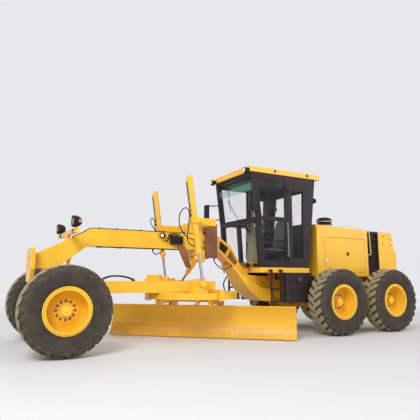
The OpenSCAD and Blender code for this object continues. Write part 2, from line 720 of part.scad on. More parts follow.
module cutting_edge() {
    a = blade_half_angle;
    top = asin((blade_h / 2 - edge_h) / blade_rr);
    bit = asin((blade_h / 2 - edge_h - 40) / blade_rr);
    t = 18;
    color(steel) on_circle() union() {
        along_x(blade_u0 + bit_l, blade_u1 - bit_l) polygon(concat(
            arc(face_n, blade_mid_z, blade_rr - seat_gap, 180 + top, 180 + a, 16),
            arc(face_n, blade_mid_z, blade_rr - seat_gap - t, 180 + a, 180 + top, 16)));
        for (u0 = [blade_u0, blade_u1 - bit_l]) along_x(u0, u0 + bit_l) polygon(concat(
            arc(face_n, blade_mid_z, blade_rr - seat_gap, 180 + bit, 180 + a, 16),
            arc(face_n, blade_mid_z, blade_rr - seat_gap - t - 4, 180 + a, 180 + bit, 16)));
    }
}

side_n = -155;
side_z = 205;
side_rod_r = 25;
jaw_gap = 1;

module tilt_carrier() {
    color(dark) on_circle() difference() {
        union() {
            block([-arm_u + arm_t / 2 + pass, tilt_n - 40, tilt_z - 45], [arm_u - arm_t / 2 - pass, tilt_n + 45, tilt_z + 60]);
            rod_x(tilt_n, tilt_z, -arm_u - arm_t / 2, arm_u + arm_t / 2, tilt_pin_r);
            for (u = [-400, 400]) {
                along_x(u - 35, u + 35) polygon([
                    [-105, blade_mid_z - rail_dz - 45], [-150, blade_mid_z - rail_dz - 45],
                    [tilt_n - 20, tilt_z - 40], [tilt_n - 20, tilt_z + 50],
                    [-160, blade_mid_z + rail_dz + 45], [-105, blade_mid_z + rail_dz + 45]]);
                for (s = [-1, 1], e = [-1, 1]) {
                    z0 = blade_mid_z + s * rail_dz + e * (rail_h / 2 + jaw_gap + 11);
                    block([u - 35, -110, z0 - 11], [u + 35, -60, z0 + 11]);
                }
                for (s = [-1, 1]) block([u - 35, -110, blade_mid_z + s * rail_dz - 43],
                                        [u + 35, rail_n0 - jaw_gap, blade_mid_z + s * rail_dz + 43]);
            }
            // Side shift barrel and the lugs of the tip cylinder
            rod_x(side_n, side_z, -700, 750, 45);
            for (u = [-58, 38]) along_x(u, u + 20) polygon([
                [tilt_n - 30, tilt_z], [tilt_n + 40, tilt_z], [-130, 540], [-190, 560], [-230, 520]]);
        }
        rod_x(side_n, side_z, -701, -640, side_rod_r + run);
        rod_x(side_n, side_z, -640, 730, 36);
    }
}

// Tip cylinder, from the circle's cross tube to the tilt carrier
tip_eye_n = -180;
tip_eye_z = 520;
tip_len = norm([tip_eye_n - tip_n, tip_eye_z - tip_z]);
tip_turn = atan2(tip_n - tip_eye_n, tip_z - tip_eye_z);

module in_tip() {
    on_circle() translate([0, tip_n, tip_z]) rotate([-tip_turn, 0, 0]) children();
}
module tip_barrel() {
    color(yellow) in_tip() difference() {
        union() {
            rod_x(0, 0, -32, 32, 62);
            translate([0, 0, -330]) cylinder(r = 42, h = 280, $fn = 48);
        }
        rod_x(0, 0, -33, 33, 42 + run);
        translate([0, 0, -331]) cylinder(r = 22 + run, h = 41, $fn = 48);
        translate([0, 0, -290]) cylinder(r = 34, h = 200, $fn = 48);
    }
}
module tip_rod() {
    color(steel) in_tip() union() {
        translate([0, 0, -tip_len]) cylinder(r = 22, h = tip_len - 150, $fn = 48);
        rod_x(0, -tip_len, -30, 30, 36);
    }
}

// Rear frame

rail_y = 300;
rail_half = 40;
rail_z0 = 820;
rail_z1 = 1080;
tail_x = front_axle_x - 8000;
yoke_r = 110;

module rear_frame() {
    yoke_z0 = lug_low_z + lug_t + pass;
    yoke_z1 = lug_high_z - pass;
    color(yellow) union() {
        both_sides() block([tail_x + 60, rail_y - rail_half, rail_z0], [hitch_x - 360, rail_y + rail_half, rail_z1]);
        translate([hitch_x, 0, yoke_z0]) cylinder(r = yoke_r, h = yoke_z1 - yoke_z0, $fn = 64);
        translate([hitch_x, 0, lug_low_z - 12]) cylinder(r = hitch_pin_r, h = lug_high_z + lug_t - lug_low_z + 24, $fn = 48);
        block([hitch_x - 300, -yoke_r, yoke_z0], [hitch_x, yoke_r, yoke_z1]);
        block([hitch_x - 420, -rail_y - rail_half, yoke_z0], [hitch_x - 280, rail_y + rail_half, yoke_z1]);
        block([tail_x - 70, -640, 900], [tail_x + 60, 640, 1160]);
        for (x = [tandem_x + 700, tandem_x - 700]) block([x - 60, -rail_y, rail_z0 + 40], [x + 60, rail_y, rail_z1 - 40]);
        // Cab and hood mounts on the rails
        for (x = [hitch_x - 340, -1380]) both_sides()
            block([x - 50, rail_y - rail_half, rail_z1 - 1], [x + 50, rail_y + 120, cab_floor_z - seat_gap]);
        for (x = [-1880, -3420, -3950]) both_sides()
            block([x - 50, rail_y - rail_half, rail_z1 - 1], [x + 50, rail_y + 120, hood_z - seat_gap]);
    }
}

case_y0 = 610;
case_y1 = 800;
case_r = 215;

module tandem_cases() {
    color(yellow) both_sides() union() {
        for (x = [mid_x, rear_x]) {
            rod_y(x, hub_z, case_y0, case_y1, case_r);
            rod_y(x, hub_z, case_y1 - 1, half_track + 45, drive_spindle_r);
        }
        along_y(case_y0, case_y1) polygon([
            [rear_x, hub_z - case_r], [mid_x, hub_z - case_r], [mid_x, hub_z + case_r],
            [tandem_x + 150, hub_z + case_r + 40], [tandem_x - 150, hub_z + case_r + 40],
            [rear_x, hub_z + case_r]]);
    }
}

module rear_axle() {
    color(yellow) difference() {
        union() {
            rod_y(tandem_x, hub_z, -case_y0 + seat_gap, case_y0 - seat_gap, 150);
            rod_y(tandem_x, hub_z, -200, 200, 250);
            rod_y(tandem_x, hub_z, case_y0 - 60, case_y0 - seat_gap, 200);
            rod_y(tandem_x, hub_z, -case_y0 + seat_gap, -case_y0 + 60, 200);
        }
        both_sides() block([tandem_x - 300, rail_y - rail_half - seat_gap, rail_z0 - seat_gap],
                           [tandem_x + 300, rail_y + rail_half + seat_gap, rail_z0 + 300]);
        block([tandem_x - 300, -rail_y, rail_z0 + 60], [tandem_x + 300, rail_y, rail_z0 + 300]);
    }
}

// Hood with the engine, the radiator and the tail

hood_x1 = front_axle_x - 5400;
hood_x0 = front_axle_x - 6980;
hood_slope = hood_drop / (hood_x1 - (tail_x + 200));
function hood_top(x) = hood_top_z - (hood_x1 - x) * hood_slope;
door_x1 = hood_x1 - 180;
door_x0 = front_axle_x - 6880;
door_z0 = hood_z + 90;
door_z1 = hood_top_z - 285;

hinge_y = hood_half + 12;
hinge_z = door_z1 + pass / 2;
hinge_r = 9;
hinge_l = 60;
hinge_gap = 0.5;
hinge_places = [door_x0 + 220, door_x1 - 220 - 2 * hinge_l];

// One half of the hinges at the top of a hood door: the hood's half points up and the door's down
module hood_hinges(side, up) {
    on_side(side) for (x = hinge_places) {
        x0 = up > 0 ? x : x + hinge_l + hinge_gap;
        rod_x(hinge_y, hinge_z, x0, x0 + hinge_l, hinge_r);
        block([x0, hinge_y - 15, up > 0 ? hinge_z : hinge_z - 43],
              [x0 + hinge_l, hinge_y - 5, up > 0 ? hinge_z + 40 : hinge_z]);
    }
}

module hood_section(x0, x1, inset, y_half) {
    translate([x0, 0, 0]) along_y(-y_half + inset, y_half - inset) polygon([
        [0, hood_z + inset], [x1 - x0, hood_z + inset], [x1 - x0, hood_top(x1) - inset], [0, hood_top(x0) - inset]]);
}
module hood() {
    bevel = 90;
    color(yellow) union() {
        difference() {
            hood_section(hood_x0, hood_x1, 0, hood_half);
            // Open below and to the rear
            hood_section(hood_x0 - 1, hood_x1 - panel_t, panel_t, hood_half);
            block([hood_x0 - 1, -hood_half + panel_t, hood_z - 1],
                  [hood_x1 - panel_t, hood_half - panel_t, hood_z + panel_t + 1]);
            for (s = [-1, 1]) translate([0, s * hood_half, hood_top_z]) rotate([45, 0, 0])
                cube([9000, bevel, bevel], center = true);
            both_sides() block([door_x0 - pass, hood_half - panel_t - 1, door_z0 - pass],
                               [door_x1 + pass, hood_half + 1, door_z1 + pass]);
        }
        for (side = [left, right]) hood_hinges(side, 1);
    }
}

module hood_door(side) {
    color(yellow) union() {
        on_side(side) {
            block([door_x0, hood_half - panel_t + 5, door_z0], [door_x1, hood_half - 2, door_z1]);
            block([door_x0 + 60, hood_half - 3, door_z0 + 60], [door_x1 - 60, hood_half + 8, door_z1 - 60]);
        }
        hood_hinges(side, -1);
    }
}

module engine_block() {
    color(dark) union() {
        block([hood_x0 + 250, -330, rail_z1 + 60], [hood_x1 - 250, 330, hood_top_z - 320]);
        for (x = [hood_x0 + 350, hood_x1 - 400]) both_sides()
            block([x - 60, rail_y - rail_half, rail_z1 + seat_gap], [x + 60, rail_y + 20, rail_z1 + 61]);
    }
}

rad_x0 = front_axle_x - 7360;
slat_pitch = 62;
slat_t = 10;

// A louvre slat, drawn as [depth, height] from its outer edge
module slat() {
    polygon([[0, 0], [0, slat_t], [-45, slat_t + 32], [-45, 32]]);
}

// Radiator housing, with louvres down both sides between its posts
module radiator() {
    core = hood_half - 60;
    outer = hood_half - 8;
    post = 26;
    top = hood_top(hood_x0) - 10;
    count = floor((top - hood_z - 150) / slat_pitch);
    color(black) union() {
        block([rad_x0 + seat_gap, -core, hood_z], [hood_x0 - seat_gap, core, top]);
        both_sides() {
            for (x0 = [rad_x0 + seat_gap, hood_x0 - seat_gap - post])
                block([x0, core - 1, hood_z], [x0 + post, outer, top]);
            for (z0 = [hood_z, top - 50]) block([rad_x0 + post, core - 1, z0], [hood_x0 - post, outer, z0 + 50]);
            along_x(rad_x0 + post, hood_x0 - post) for (i = [0 : count - 1])
                translate([outer - 4, hood_z + 62 + i * slat_pitch]) slat();
        }
    }
}

// Tail housing, open below, with a louvred rear wall that slants, and the rear box
module tail_box() {
    wall = 30;
    low_x = tail_x + 10;
    high_x = tail_x + 170;
    top = hood_top(hood_x0) - 5;
    rear_x = function(z) low_x + (high_x - low_x) * (z - hood_z) / (top - hood_z);
    color(yellow) union() {
        difference() {
            along_y(-hood_half, hood_half) polygon([
                [low_x, hood_z], [rad_x0, hood_z], [rad_x0, top], [high_x, top]]);
            along_y(-hood_half + wall, hood_half - wall) polygon([
                [low_x + wall, hood_z - 1], [rad_x0 + 1, hood_z - 1], [rad_x0 + 1, top - wall],
                [rear_x(top - wall) + wall, top - wall]]);
            for (s = [-1, 1]) translate([0, s * hood_half, top + 30]) rotate([45, 0, 0])
                cube([9000, 90, 90], center = true);
            along_x(low_x - 10, high_x + 100) for (s = [-1, 1]) translate([s * 240 - 190, hood_z + 700])
                square([380, 250]);
        }
        for (s = [-1, 1], z = [hood_z + 715 : 60 : hood_z + 930])
            along_y(s * 240 - 191, s * 240 + 191) translate([rear_x(z) + 4, z])
                polygon([[0, 0], [0, 8], [26, 34], [26, 26]]);
        block([tail_x - 60, -480, 1500], [rear_x(1500) + 10, 480, 1820]);
    }
}

// Cab, in the X-Z plane: front line from the foot to the roof, rear line leaning back

cab_foot_x = front_axle_x - cab_front_back;
cab_foot_z = cab_floor_z + cab_sill_h;
transom_x = cab_foot_x + 70;
transom_z = 2330;
brow_x = cab_foot_x + 190;
brow_z = cab_top_z - roof_h;
tail_foot_x = front_axle_x - 4990;
tail_top_x = front_axle_x - 5215;
b_post_x0 = front_axle_x - 4570;
b_post_x1 = front_axle_x - 4450;

glass_t = 6;

cab_side = [
    [cab_foot_x, cab_foot_z], [transom_x, transom_z], [brow_x, brow_z],
    [tail_top_x, brow_z], [tail_foot_x, cab_foot_z]
];
function front_line(z) = z < transom_z
    ? cab_foot_x + (transom_x - cab_foot_x) * (z - cab_foot_z) / (transom_z - cab_foot_z)
    : transom_x + (brow_x - transom_x) * (z - transom_z) / (brow_z - transom_z);
function rear_line(z) = tail_foot_x + (tail_top_x - tail_foot_x) * (z - cab_foot_z) / (brow_z - cab_foot_z);

// Notch under the cab's front for the gooseneck when the frames are turned
notch_x = cab_foot_x - 165;
notch_half = 460;
notch_z = 1445;

module cab_floor() {
    color(yellow) difference() {
        union() {
            block([tail_foot_x, -cab_half, cab_floor_z], [cab_foot_x, cab_half, cab_foot_z - seat_gap]);
            block([notch_x - 20, -notch_half - 20, cab_floor_z], [notch_x + 95, notch_half + 20, notch_z + 20]);
        }
        block([notch_x, -notch_half, cab_floor_z - 1], [cab_foot_x + 1, notch_half, notch_z]);
    }
}

// Windows: windscreen, lower front, rear and rear side
screen_z0 = transom_z + 45;
screen_z1 = brow_z - 65;
screen_half = cab_half - post_t - 10;
low_z0 = cab_foot_z + 90;
low_z1 = transom_z - 70;
low_y = (cab_half - post_t + 25) / 2;
low_half = 300;
rear_z0 = brow_z - 965;
rear_z1 = brow_z - 245;
rear_half = cab_half - post_t - 90;
side_z0 = cab_foot_z + 200;
side_z1 = brow_z - 295;

// A rear side window's outline, drawn in by a margin
module side_window(m) {
    polygon([
        [b_post_x0 - m, side_z0 + m], [rear_line(side_z0) + 180 + m, side_z0 + m],
        [rear_line(side_z1) + 300 + m, side_z1 - m], [b_post_x0 - m, side_z1 - m]]);
}

door_low = cab_foot_z + 15;
door_high = brow_z - 70;
door_mid = transom_z + 20;

// Opening of a door in the side, drawn as [x, z], grown by a margin
module door_shape(grow) {
    offset_x = post_t + pass;
    polygon([
        [front_line(door_low) - offset_x + grow, door_low - grow],
        [front_line(transom_z) - offset_x + grow, transom_z],
        [front_line(door_high) - offset_x + grow, door_high + grow],
        [b_post_x1 + pass - grow, door_high + grow], [b_post_x1 + pass - grow, door_low - grow]]);
}

module pane(z0, z1, margin) {
    polygon([
        [front_line(z0) - post_t - margin, z0], [front_line(z1) - post_t - margin, z1],
        [b_post_x1 + margin, z1], [b_post_x1 + margin, z0]]);
}

// Door hinges: the post's knuckles stand below the door's, on an axis outside the cab's side
door_hinge_x = b_post_x1 + pass / 2;
door_hinge_y = cab_half + 14;
door_hinge_r = 12;
door_hinge_l = 60;

module cab_hinges(up) {
    both_sides() for (z = [door_low + 150, door_high - 300]) {
        z0 = up > 0 ? z : z + door_hinge_l + hinge_gap;
        translate([door_hinge_x, door_hinge_y, z0]) cylinder(r = door_hinge_r, h = door_hinge_l, $fn = 48);
        block([up > 0 ? door_hinge_x - 50 : door_hinge_x, cab_half - 1, z0],
              [up > 0 ? door_hinge_x : door_hinge_x + 45, door_hinge_y, z0 + door_hinge_l]);
    }
}

module cab_frame() {
    color(black) difference() {
        along_y(-cab_half, cab_half) polygon(cab_side);
        // Inside of the cab
        along_y(-cab_half + post_t, cab_half - post_t) polygon([
            [front_line(cab_foot_z) - post_t, cab_foot_z - 1], [transom_x - post_t, transom_z],
            [front_line(brow_z - 60) - post_t, brow_z - 60],
            [rear_line(brow_z - 60) + post_t, brow_z - 60], [tail_foot_x + post_t, cab_foot_z - 1]]);
        // Doorways
        for (s = [-1, 1]) along_y(s > 0 ? cab_half - post_t - 1 : -cab_half - 1, s > 0 ? cab_half + 1 : -cab_half + post_t + 1)
            door_shape(pass);
        // Notch for the gooseneck, and the box that covers it inside
        block([notch_x, -notch_half - 20 - seat_gap, cab_foot_z - 1],
              [cab_foot_x + 20, notch_half + 20 + seat_gap, notch_z + 20 + seat_gap]);
        along_y(-cab_half - 1, cab_half + 1) side_window(0);
        along_x(cab_foot_x - 200, brow_x + 10) translate([-screen_half, screen_z0])
            square([2 * screen_half, screen_z1 - screen_z0]);
        for (s = [-1, 1]) along_x(cab_foot_x - 100, brow_x + 10) translate([s * low_y - low_half, low_z0])
            square([2 * low_half, low_z1 - low_z0]);
        along_x(tail_top_x - 10, tail_foot_x + 30) translate([-rear_half, rear_z0])
            square([2 * rear_half, rear_z1 - rear_z0]);
    }
    color(black) cab_hinges(1);
}

// A pane that leans with the cab's front line between two heights
module front_pane(z0, z1, half) {
    a = z0 + seat_gap;
    b = z1 - seat_gap;
    along_y(-half + seat_gap, half - seat_gap) polygon([
        [front_line(a) - 30, a], [front_line(a) - 30 - glass_t, a],
        [front_line(b) - 30 - glass_t, b], [front_line(b) - 30, b]]);
}

module cab_glass() {
    a = rear_z0 + seat_gap;
    b = rear_z1 - seat_gap;
    color(glass) union() {
        front_pane(screen_z0, screen_z1, screen_half);
        for (s = [-1, 1]) translate([0, s * low_y, 0]) front_pane(low_z0, low_z1, low_half);
        along_y(-rear_half + seat_gap, rear_half - seat_gap) polygon([
            [rear_line(a) + 30, a], [rear_line(a) + 30 + glass_t, a],
            [rear_line(b) + 30 + glass_t, b], [rear_line(b) + 30, b]]);
        for (s = [-1, 1]) translate([0, s * (cab_half - 30), 0]) along_y(-glass_t / 2, glass_t / 2)
            side_window(seat_gap);
    }
}

module cab_roof() {
    x0 = tail_top_x - 135;
    x1 = brow_x + 50;
    edge = cab_half + 20;
    color(yellow) union() {
        block([x0, -edge, brow_z + seat_gap], [x1, edge, cab_top_z - 30]);
        along_x(x0 + 40, x1 - 40) polygon([
            [-edge, cab_top_z - 31], [edge, cab_top_z - 31], [edge - 90, cab_top_z], [-edge + 90, cab_top_z]]);
    }
}

module seat() {
    x = front_axle_x - 4560;
    z = cab_foot_z;
    color(black) union() {
        block([x - 180, -180, z], [x + 180, 180, z + 300]);
        block([x - 260, -250, z + 300], [x + 260, 250, z + 430]);
        along_y(-240, 240) polygon([
            [x - 140, z + 400], [x - 270, z + 400], [x - 380, z + 1050], [x - 280, z + 1070]]);
        for (s = [-1, 1]) block([x - 250, s * 290 - 30, z + 560], [x + 120, s * 290 + 30, z + 620]);
        for (s = [-1, 1]) block([x - 250, s * 290 - 20, z + 400], [x - 200, s * 250, z + 561]);
    }
}

module console() {
    x = cab_foot_x - 330;
    z = cab_foot_z;
    color(beige) union() {
        along_y(-110, 110) polygon([[x - 60, z], [x + 110, z], [x + 40, z + 760], [x - 60, z + 790]]);
        for (s = [-1, 1]) translate([x - 20, s * 150, 0]) block([-60, -45, z + 560], [70, 45, z + 760]);
        block([x - 70, -160, z + 600], [x + 30, 160, z + 700]);
        // Steering wheel with three openings between its spokes
        translate([x - 70, 0, z + 850]) rotate([0, -35, 0]) difference() {
            cylinder(r = 210, h = 26, $fn = 64);
            for (a = [0 : 120 : 240]) rotate([0, 0, a]) translate([0, 0, -1]) intersection() {
                difference() {
                    cylinder(r = 182, h = 28, $fn = 64);
                    translate([0, 0, -1]) cylinder(r = 45, h = 30, $fn = 48);
                }
                linear_extrude(height = 28) polygon([[0, 0], [400, 60], [150, 400], [-150, 380]]);
            }
        }
        translate([x - 70, 0, z + 740]) rotate([0, -35, 0]) cylinder(r = 30, h = 100, $fn = 32);
    }
}

module cab_door(side) {
    t = 45;
    color(black) union() {
        on_side(side) difference() {
            along_y(cab_half - t, cab_half) door_shape(0);
            along_y(cab_half - t - 1, cab_half + 1) union() {
                pane(door_low + 130, door_mid - 45, 65);
                pane(door_mid + 45, door_high - 50, 65);
            }
        }
        intersection() {
            cab_hinges(-1);
            block([tail_foot_x, side > 0 ? 0 : -cab_half - 100, 0],
                  [brow_x, side > 0 ? cab_half + 100 : 0, cab_top_z]);
        }
    }
}

module door_glass(side) {
    color(glass) on_side(side) along_y(cab_half - 25, cab_half - 19) union() {
        pane(door_low + 130 + seat_gap, door_mid - 45 - seat_gap, 65 + seat_gap);
        pane(door_mid + 45 + seat_gap, door_high - 50 - seat_gap, 65 + seat_gap);
    }
}

// Tanks, ladders and fittings

module side_tanks() {
    color(black) union() {
        for (s = [-1, 1]) {
            y0 = s > 0 ? 620 : -840;
            block([front_axle_x - 4960, y0, 660], [front_axle_x - 4290, y0 + 220, cab_floor_z - seat_gap]);
            block([front_axle_x - 4900, s > 0 ? 340.3 : -621, 900], [front_axle_x - 4600, s > 0 ? 621 : -340.3, 1000]);
        }
    }
}

module ladders() {
    foot = 670;
    color(dark) both_sides() union() {
        for (x = [front_axle_x - 3950, front_axle_x - 4200])
            block([x - 18, 800, foot], [x + 18, 830, cab_floor_z + 60]);
        for (x = [front_axle_x - 3950, front_axle_x - 4200])
            block([x - 18, cab_half + seat_gap, cab_floor_z + 20], [x + 18, 801, cab_floor_z + 60]);
        for (z = [foot, foot + 250])
            block([front_axle_x - 4200, 740, z], [front_axle_x - 3950, 830, z + 30]);
    }
}

// A tube from one point to another
module strut(a, b, r) {
    d = b - a;
    translate(a) rotate([0, acos(d[2] / norm(d)), atan2(d[1], d[0])]) cylinder(r = r, h = norm(d), $fn = 32);
}

module fittings() {
    lamp_x = brow_x + 50;
    mirror = [brow_x + 160, cab_half + 195];
    arm_z = [2470, 2800];
    arm_r = 13;
    cap_x = front_axle_x - 6150;
    color(black) union() {
        // Mirrors on tubes bent round from the front posts
        both_sides() {
            for (z = arm_z) {
                foot = [front_line(z) - 30, cab_half + seat_gap, z];
                elbow = [front_line(z) + 40, mirror[1] - 40, z];
                block(foot - [25, 0, 30], foot + [25, 12, 30]);
                strut(foot + [0, 8, 0], elbow, arm_r);
                translate(elbow) sphere(r = arm_r + 2, $fn = 24);
                strut(elbow, [mirror[0], mirror[1], z], arm_r);
                translate([mirror[0], mirror[1], z]) sphere(r = arm_r + 2, $fn = 24);
            }
            strut([mirror[0], mirror[1], arm_z[0]], [mirror[0], mirror[1], arm_z[1]], arm_r);
            translate([mirror[0] - 8, mirror[1], (arm_z[0] + arm_z[1]) / 2]) rotate([0, -90, 0])
                linear_extrude(height = 45) round_box(180, 90, 25);
        }
        // Roof lamps
        both_sides() {
            block([lamp_x + seat_gap, 610, brow_z - 20], [lamp_x + 30, 760, brow_z + 60]);
            rod_x(690, brow_z + 15, lamp_x + 29, lamp_x + 95, 62);
        }
        // Air cap on the hood
        difference() {
            translate([cap_x, 0, hood_top(cap_x) - 20]) cylinder(r = 90, h = 100, $fn = 48);
            translate([0, 0, seat_gap]) hood_section(hood_x0, hood_x1, 0, hood_half);
        }
        translate([cap_x, 0, hood_top(cap_x) + 70]) rotate_extrude($fn = 64) polygon(concat(
            [[0, 0], [190, 0], [190, 18]], arc(120, 18, 70, 0, 90, 6), [[0, 88]]));
    }
}

rear_frame();
tandem_cases();
rear_axle();
hood();
engine_block();
radiator();
tail_box();
cab_floor();
cab_frame();
cab_roof();
cab_glass();
seat();
console();
side_tanks();
ladders();
fittings();
cab_door(left);  // cab_door_left
cab_door(right);  // cab_door_right
door_glass(left);  // door_glass_left
door_glass(right);  // door_glass_right
hood_door(left);  // hood_door_left
hood_door(right);  // hood_door_right
wheel_at(front_axle_x, left) tyre();  // tyre_front_left
wheel_at(front_axle_x, right) tyre();  // tyre_front_right
wheel_at(mid_x, left) tyre();  // tyre_mid_left
wheel_at(mid_x, right) tyre();  // tyre_mid_right
wheel_at(rear_x, left) tyre();  // tyre_rear_left
wheel_at(rear_x, right) tyre();  // tyre_rear_right
wheel_at(front_axle_x, left) rim(spindle_r);  // rim_front_left
wheel_at(front_axle_x, right) rim(spindle_r);  // rim_front_right
wheel_at(mid_x, left) rim(drive_spindle_r);  // rim_mid_left
wheel_at(mid_x, right) rim(drive_spindle_r);  // rim_mid_right
wheel_at(rear_x, left) rim(drive_spindle_r);  // rim_rear_left
wheel_at(rear_x, right) rim(drive_spindle_r);  // rim_rear_right
front_frame();
front_plate();
headlamps();
front_axle();
lift_saddle();
shift_yoke();
valve_block();
lean_bracket(left);  // lean_bracket_left
lean_bracket(right);  // lean_bracket_right
lean_bar();
knuckle(left);  // knuckle_left
knuckle(right);  // knuckle_right
tie_rod();
lift_barrel(left);  // lift_barrel_left
lift_barrel(right);  // lift_barrel_right
lift_rod(left);  // lift_rod_left
lift_rod(right);  // lift_rod_right
shift_barrel();
shift_rod();
drawbar();
circle();
tilt_carrier();
tip_barrel();
tip_rod();
blade();
cutting_edge();
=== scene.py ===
import json
import math

import bmesh
import bpy
from mathutils import Matrix, Vector


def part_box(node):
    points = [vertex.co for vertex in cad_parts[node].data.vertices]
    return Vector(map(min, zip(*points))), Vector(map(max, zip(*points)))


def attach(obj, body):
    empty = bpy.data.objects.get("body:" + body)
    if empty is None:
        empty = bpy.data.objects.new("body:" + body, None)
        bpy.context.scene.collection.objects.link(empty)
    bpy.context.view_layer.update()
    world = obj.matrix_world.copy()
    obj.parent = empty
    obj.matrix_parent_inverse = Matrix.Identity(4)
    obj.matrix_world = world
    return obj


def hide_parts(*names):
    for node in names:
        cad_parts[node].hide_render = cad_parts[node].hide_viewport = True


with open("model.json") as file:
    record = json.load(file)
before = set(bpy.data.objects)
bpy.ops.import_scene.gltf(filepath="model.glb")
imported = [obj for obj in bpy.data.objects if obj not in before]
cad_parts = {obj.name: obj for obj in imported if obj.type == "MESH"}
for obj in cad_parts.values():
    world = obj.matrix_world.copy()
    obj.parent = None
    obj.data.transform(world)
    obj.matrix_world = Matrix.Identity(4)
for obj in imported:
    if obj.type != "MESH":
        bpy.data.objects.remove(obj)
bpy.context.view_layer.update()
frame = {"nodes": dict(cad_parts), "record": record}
NODES = frame["nodes"]
SCENE = bpy.context.scene
WHEELS = ("front_left", "front_right", "mid_left", "mid_right", "rear_left", "rear_right")


# Materials

def tree(name):
    """A new material with its node tree emptied down to a surface shader and an output."""
    mat = bpy.data.materials.new(name)
    mat.use_nodes = True
    nt = mat.node_tree
    nt.nodes.clear()
    out = node(nt, "OutputMaterial")
    surf = node(nt, "BsdfPrincipled")
    nt.links.new(surf.outputs["BSDF"], out.inputs["Surface"])
    return mat, nt, surf


def wire(nt, made, inputs):
    """Sets inputs of a node, or links them where the value is another node's output."""
    for key, value in inputs.items():
        if isinstance(value, bpy.types.NodeSocket):
            nt.links.new(value, made.inputs[key])
        else:
            made.inputs[key].default_value = value
    return made


def node(nt, kind, inputs=None, **settings):
    """Adds a shader node, sets its properties, and sets or links its inputs."""
    made = nt.nodes.new("ShaderNode" + kind)
    for key, value in settings.items():
        setattr(made, key, value)
    return wire(nt, made, inputs or {})


def own_place(nt):
    """Places in the part's own metres."""
    return node(nt, "TexCoord").outputs["Object"]


def axis(nt, vector, name):
    return node(nt, "SeparateXYZ", {0: vector}).outputs[name]


def noise(nt, place, scale, detail, rough):
    return node(nt, "TexNoise", {
        "Vector": place, "Scale": scale, "Detail": detail, "Roughness": rough}).outputs["Fac"]


def waves(nt, place, scale, distortion, way):
    return node(nt, "TexWave", {"Vector": place, "Scale": scale, "Distortion": distortion},
        bands_direction=way).outputs["Fac"]


def steps(nt, fac, low, high, to_low=0.0, to_high=1.0):
    """Maps low..high of a value smoothly to to_low..to_high."""
    return node(nt, "MapRange", {
        "Value": fac, "From Min": low, "From Max": high, "To Min": to_low, "To Max": to_high},
        interpolation_type="SMOOTHSTEP").outputs["Result"]


def calc(nt, op, a, b=0.0):
    return node(nt, "Math", {0: a, 1: b}, operation=op).outputs[0]


MIX_A, MIX_B, MIX_RESULT = 6, 7, 2   # the mix node's sockets for colours


def blend(nt, fac, a, b):
    """Colour a, or b where the value is 1."""
    made = node(nt, "Mix", {"Factor": fac, MIX_A: a, MIX_B: b}, data_type="RGBA")
    return made.outputs[MIX_RESULT]


def relief(nt, height, strength, distance, **more):
    return node(nt, "Bump", {
        "Height": height, "Strength": strength, "Distance": distance, **more}).outputs["Normal"]


def rgb(r, g, b):
    """An sRGB colour of 0..255 as linear light."""
    def lin(v):
        v /= 255
        return v / 12.92 if v <= 0.04045 else ((v + 0.055) / 1.055) ** 2.4
    return (lin(r), lin(g), lin(b), 1.0)


BACKDROP = rgb(232, 232, 236)
DUST = rgb(168, 148, 118)
TREAD_DUST = rgb(184, 170, 130)
WALL_DUST = rgb(112, 106, 84)


def dusty(name, colour, second, rough, metal=0.0, dust=0.1, low_dust=0.5, bevel=0.004, coat=0.0,
          shine=0.5):
    """A painted or bare surface: mottled colour, dust on its low and upper faces, softened edges."""
    mat, nt, surf = tree(name)
    place = own_place(nt)
    fine = noise(nt, place, 38.0, 5.0, 0.65)
    mottled = blend(nt, steps(nt, noise(nt, place, 1.7, 5.0, 0.6), 0.35, 0.68), colour, second)
    up = axis(nt, node(nt, "NewGeometry").outputs["Normal"], "Z")
    low = steps(nt, axis(nt, place, "Z"), 1.25, 0.1, 0.0, low_dust)
    lying = steps(nt, up, 0.35, 0.95, 0.0, dust)
    patchy = steps(nt, noise(nt, place, 5.5, 8.0, 0.7), 0.38, 0.66)
    amount = calc(nt, "MULTIPLY", calc(nt, "MAXIMUM", low, lying), steps(nt, patchy, 0.0, 1.0, 0.35, 1.0))
    soft = node(nt, "Bevel", {"Radius": bevel}, samples=4).outputs["Normal"]
    wire(nt, surf, {"Base Color": blend(nt, amount, mottled, DUST),
        "Roughness": calc(nt, "ADD", steps(nt, fine, 0.3, 0.7, rough - 0.06, rough + 0.08),
                          calc(nt, "MULTIPLY", amount, 0.3)),
        "Metallic": metal, "Specular IOR Level": shine, "Coat Weight": coat,
        "Coat Roughness": 0.25, "Normal": relief(nt, fine, 0.35, 0.0006, Normal=soft)})
    return mat


def rubber(name, colour, worn, tread_at=None):
    """Rubber with grain; a tyre also has dust on its walls, and more on its tread, which begins
    at a distance from the axle."""
    mat, nt, surf = tree(name)
    place = own_place(nt)
    fine = noise(nt, place, 70.0, 6.0, 0.7)
    shade = blend(nt, steps(nt, noise(nt, place, 5.0, 8.0, 0.7), 0.32, 0.68), colour, worn)
    if tread_at:
        grain = noise(nt, place, 26.0, 6.0, 0.7)
        squares = [calc(nt, "MULTIPLY", v, v) for v in (axis(nt, place, way) for way in "XZ")]
        away = calc(nt, "SQRT", calc(nt, "ADD", *squares))
        for near, far, low, high, thin, thick, dust in (
                (tread_at - 0.012, tread_at + 0.004, 0.25, 0.6, 0.55, 0.95, TREAD_DUST),
                (0.48, 0.62, 0.35, 0.7, 0.05, 0.42, WALL_DUST)):
            amount = calc(nt, "MULTIPLY", steps(nt, away, near, far),
                          steps(nt, grain, low, high, thin, thick))
            shade = blend(nt, amount, shade, dust)
    wire(nt, surf, {"Base Color": shade, "Roughness": steps(nt, fine, 0.3, 0.7, 0.72, 0.95),
        "Specular IOR Level": 0.25, "Normal": relief(nt, fine, 0.5, 0.0016)})
    return mat


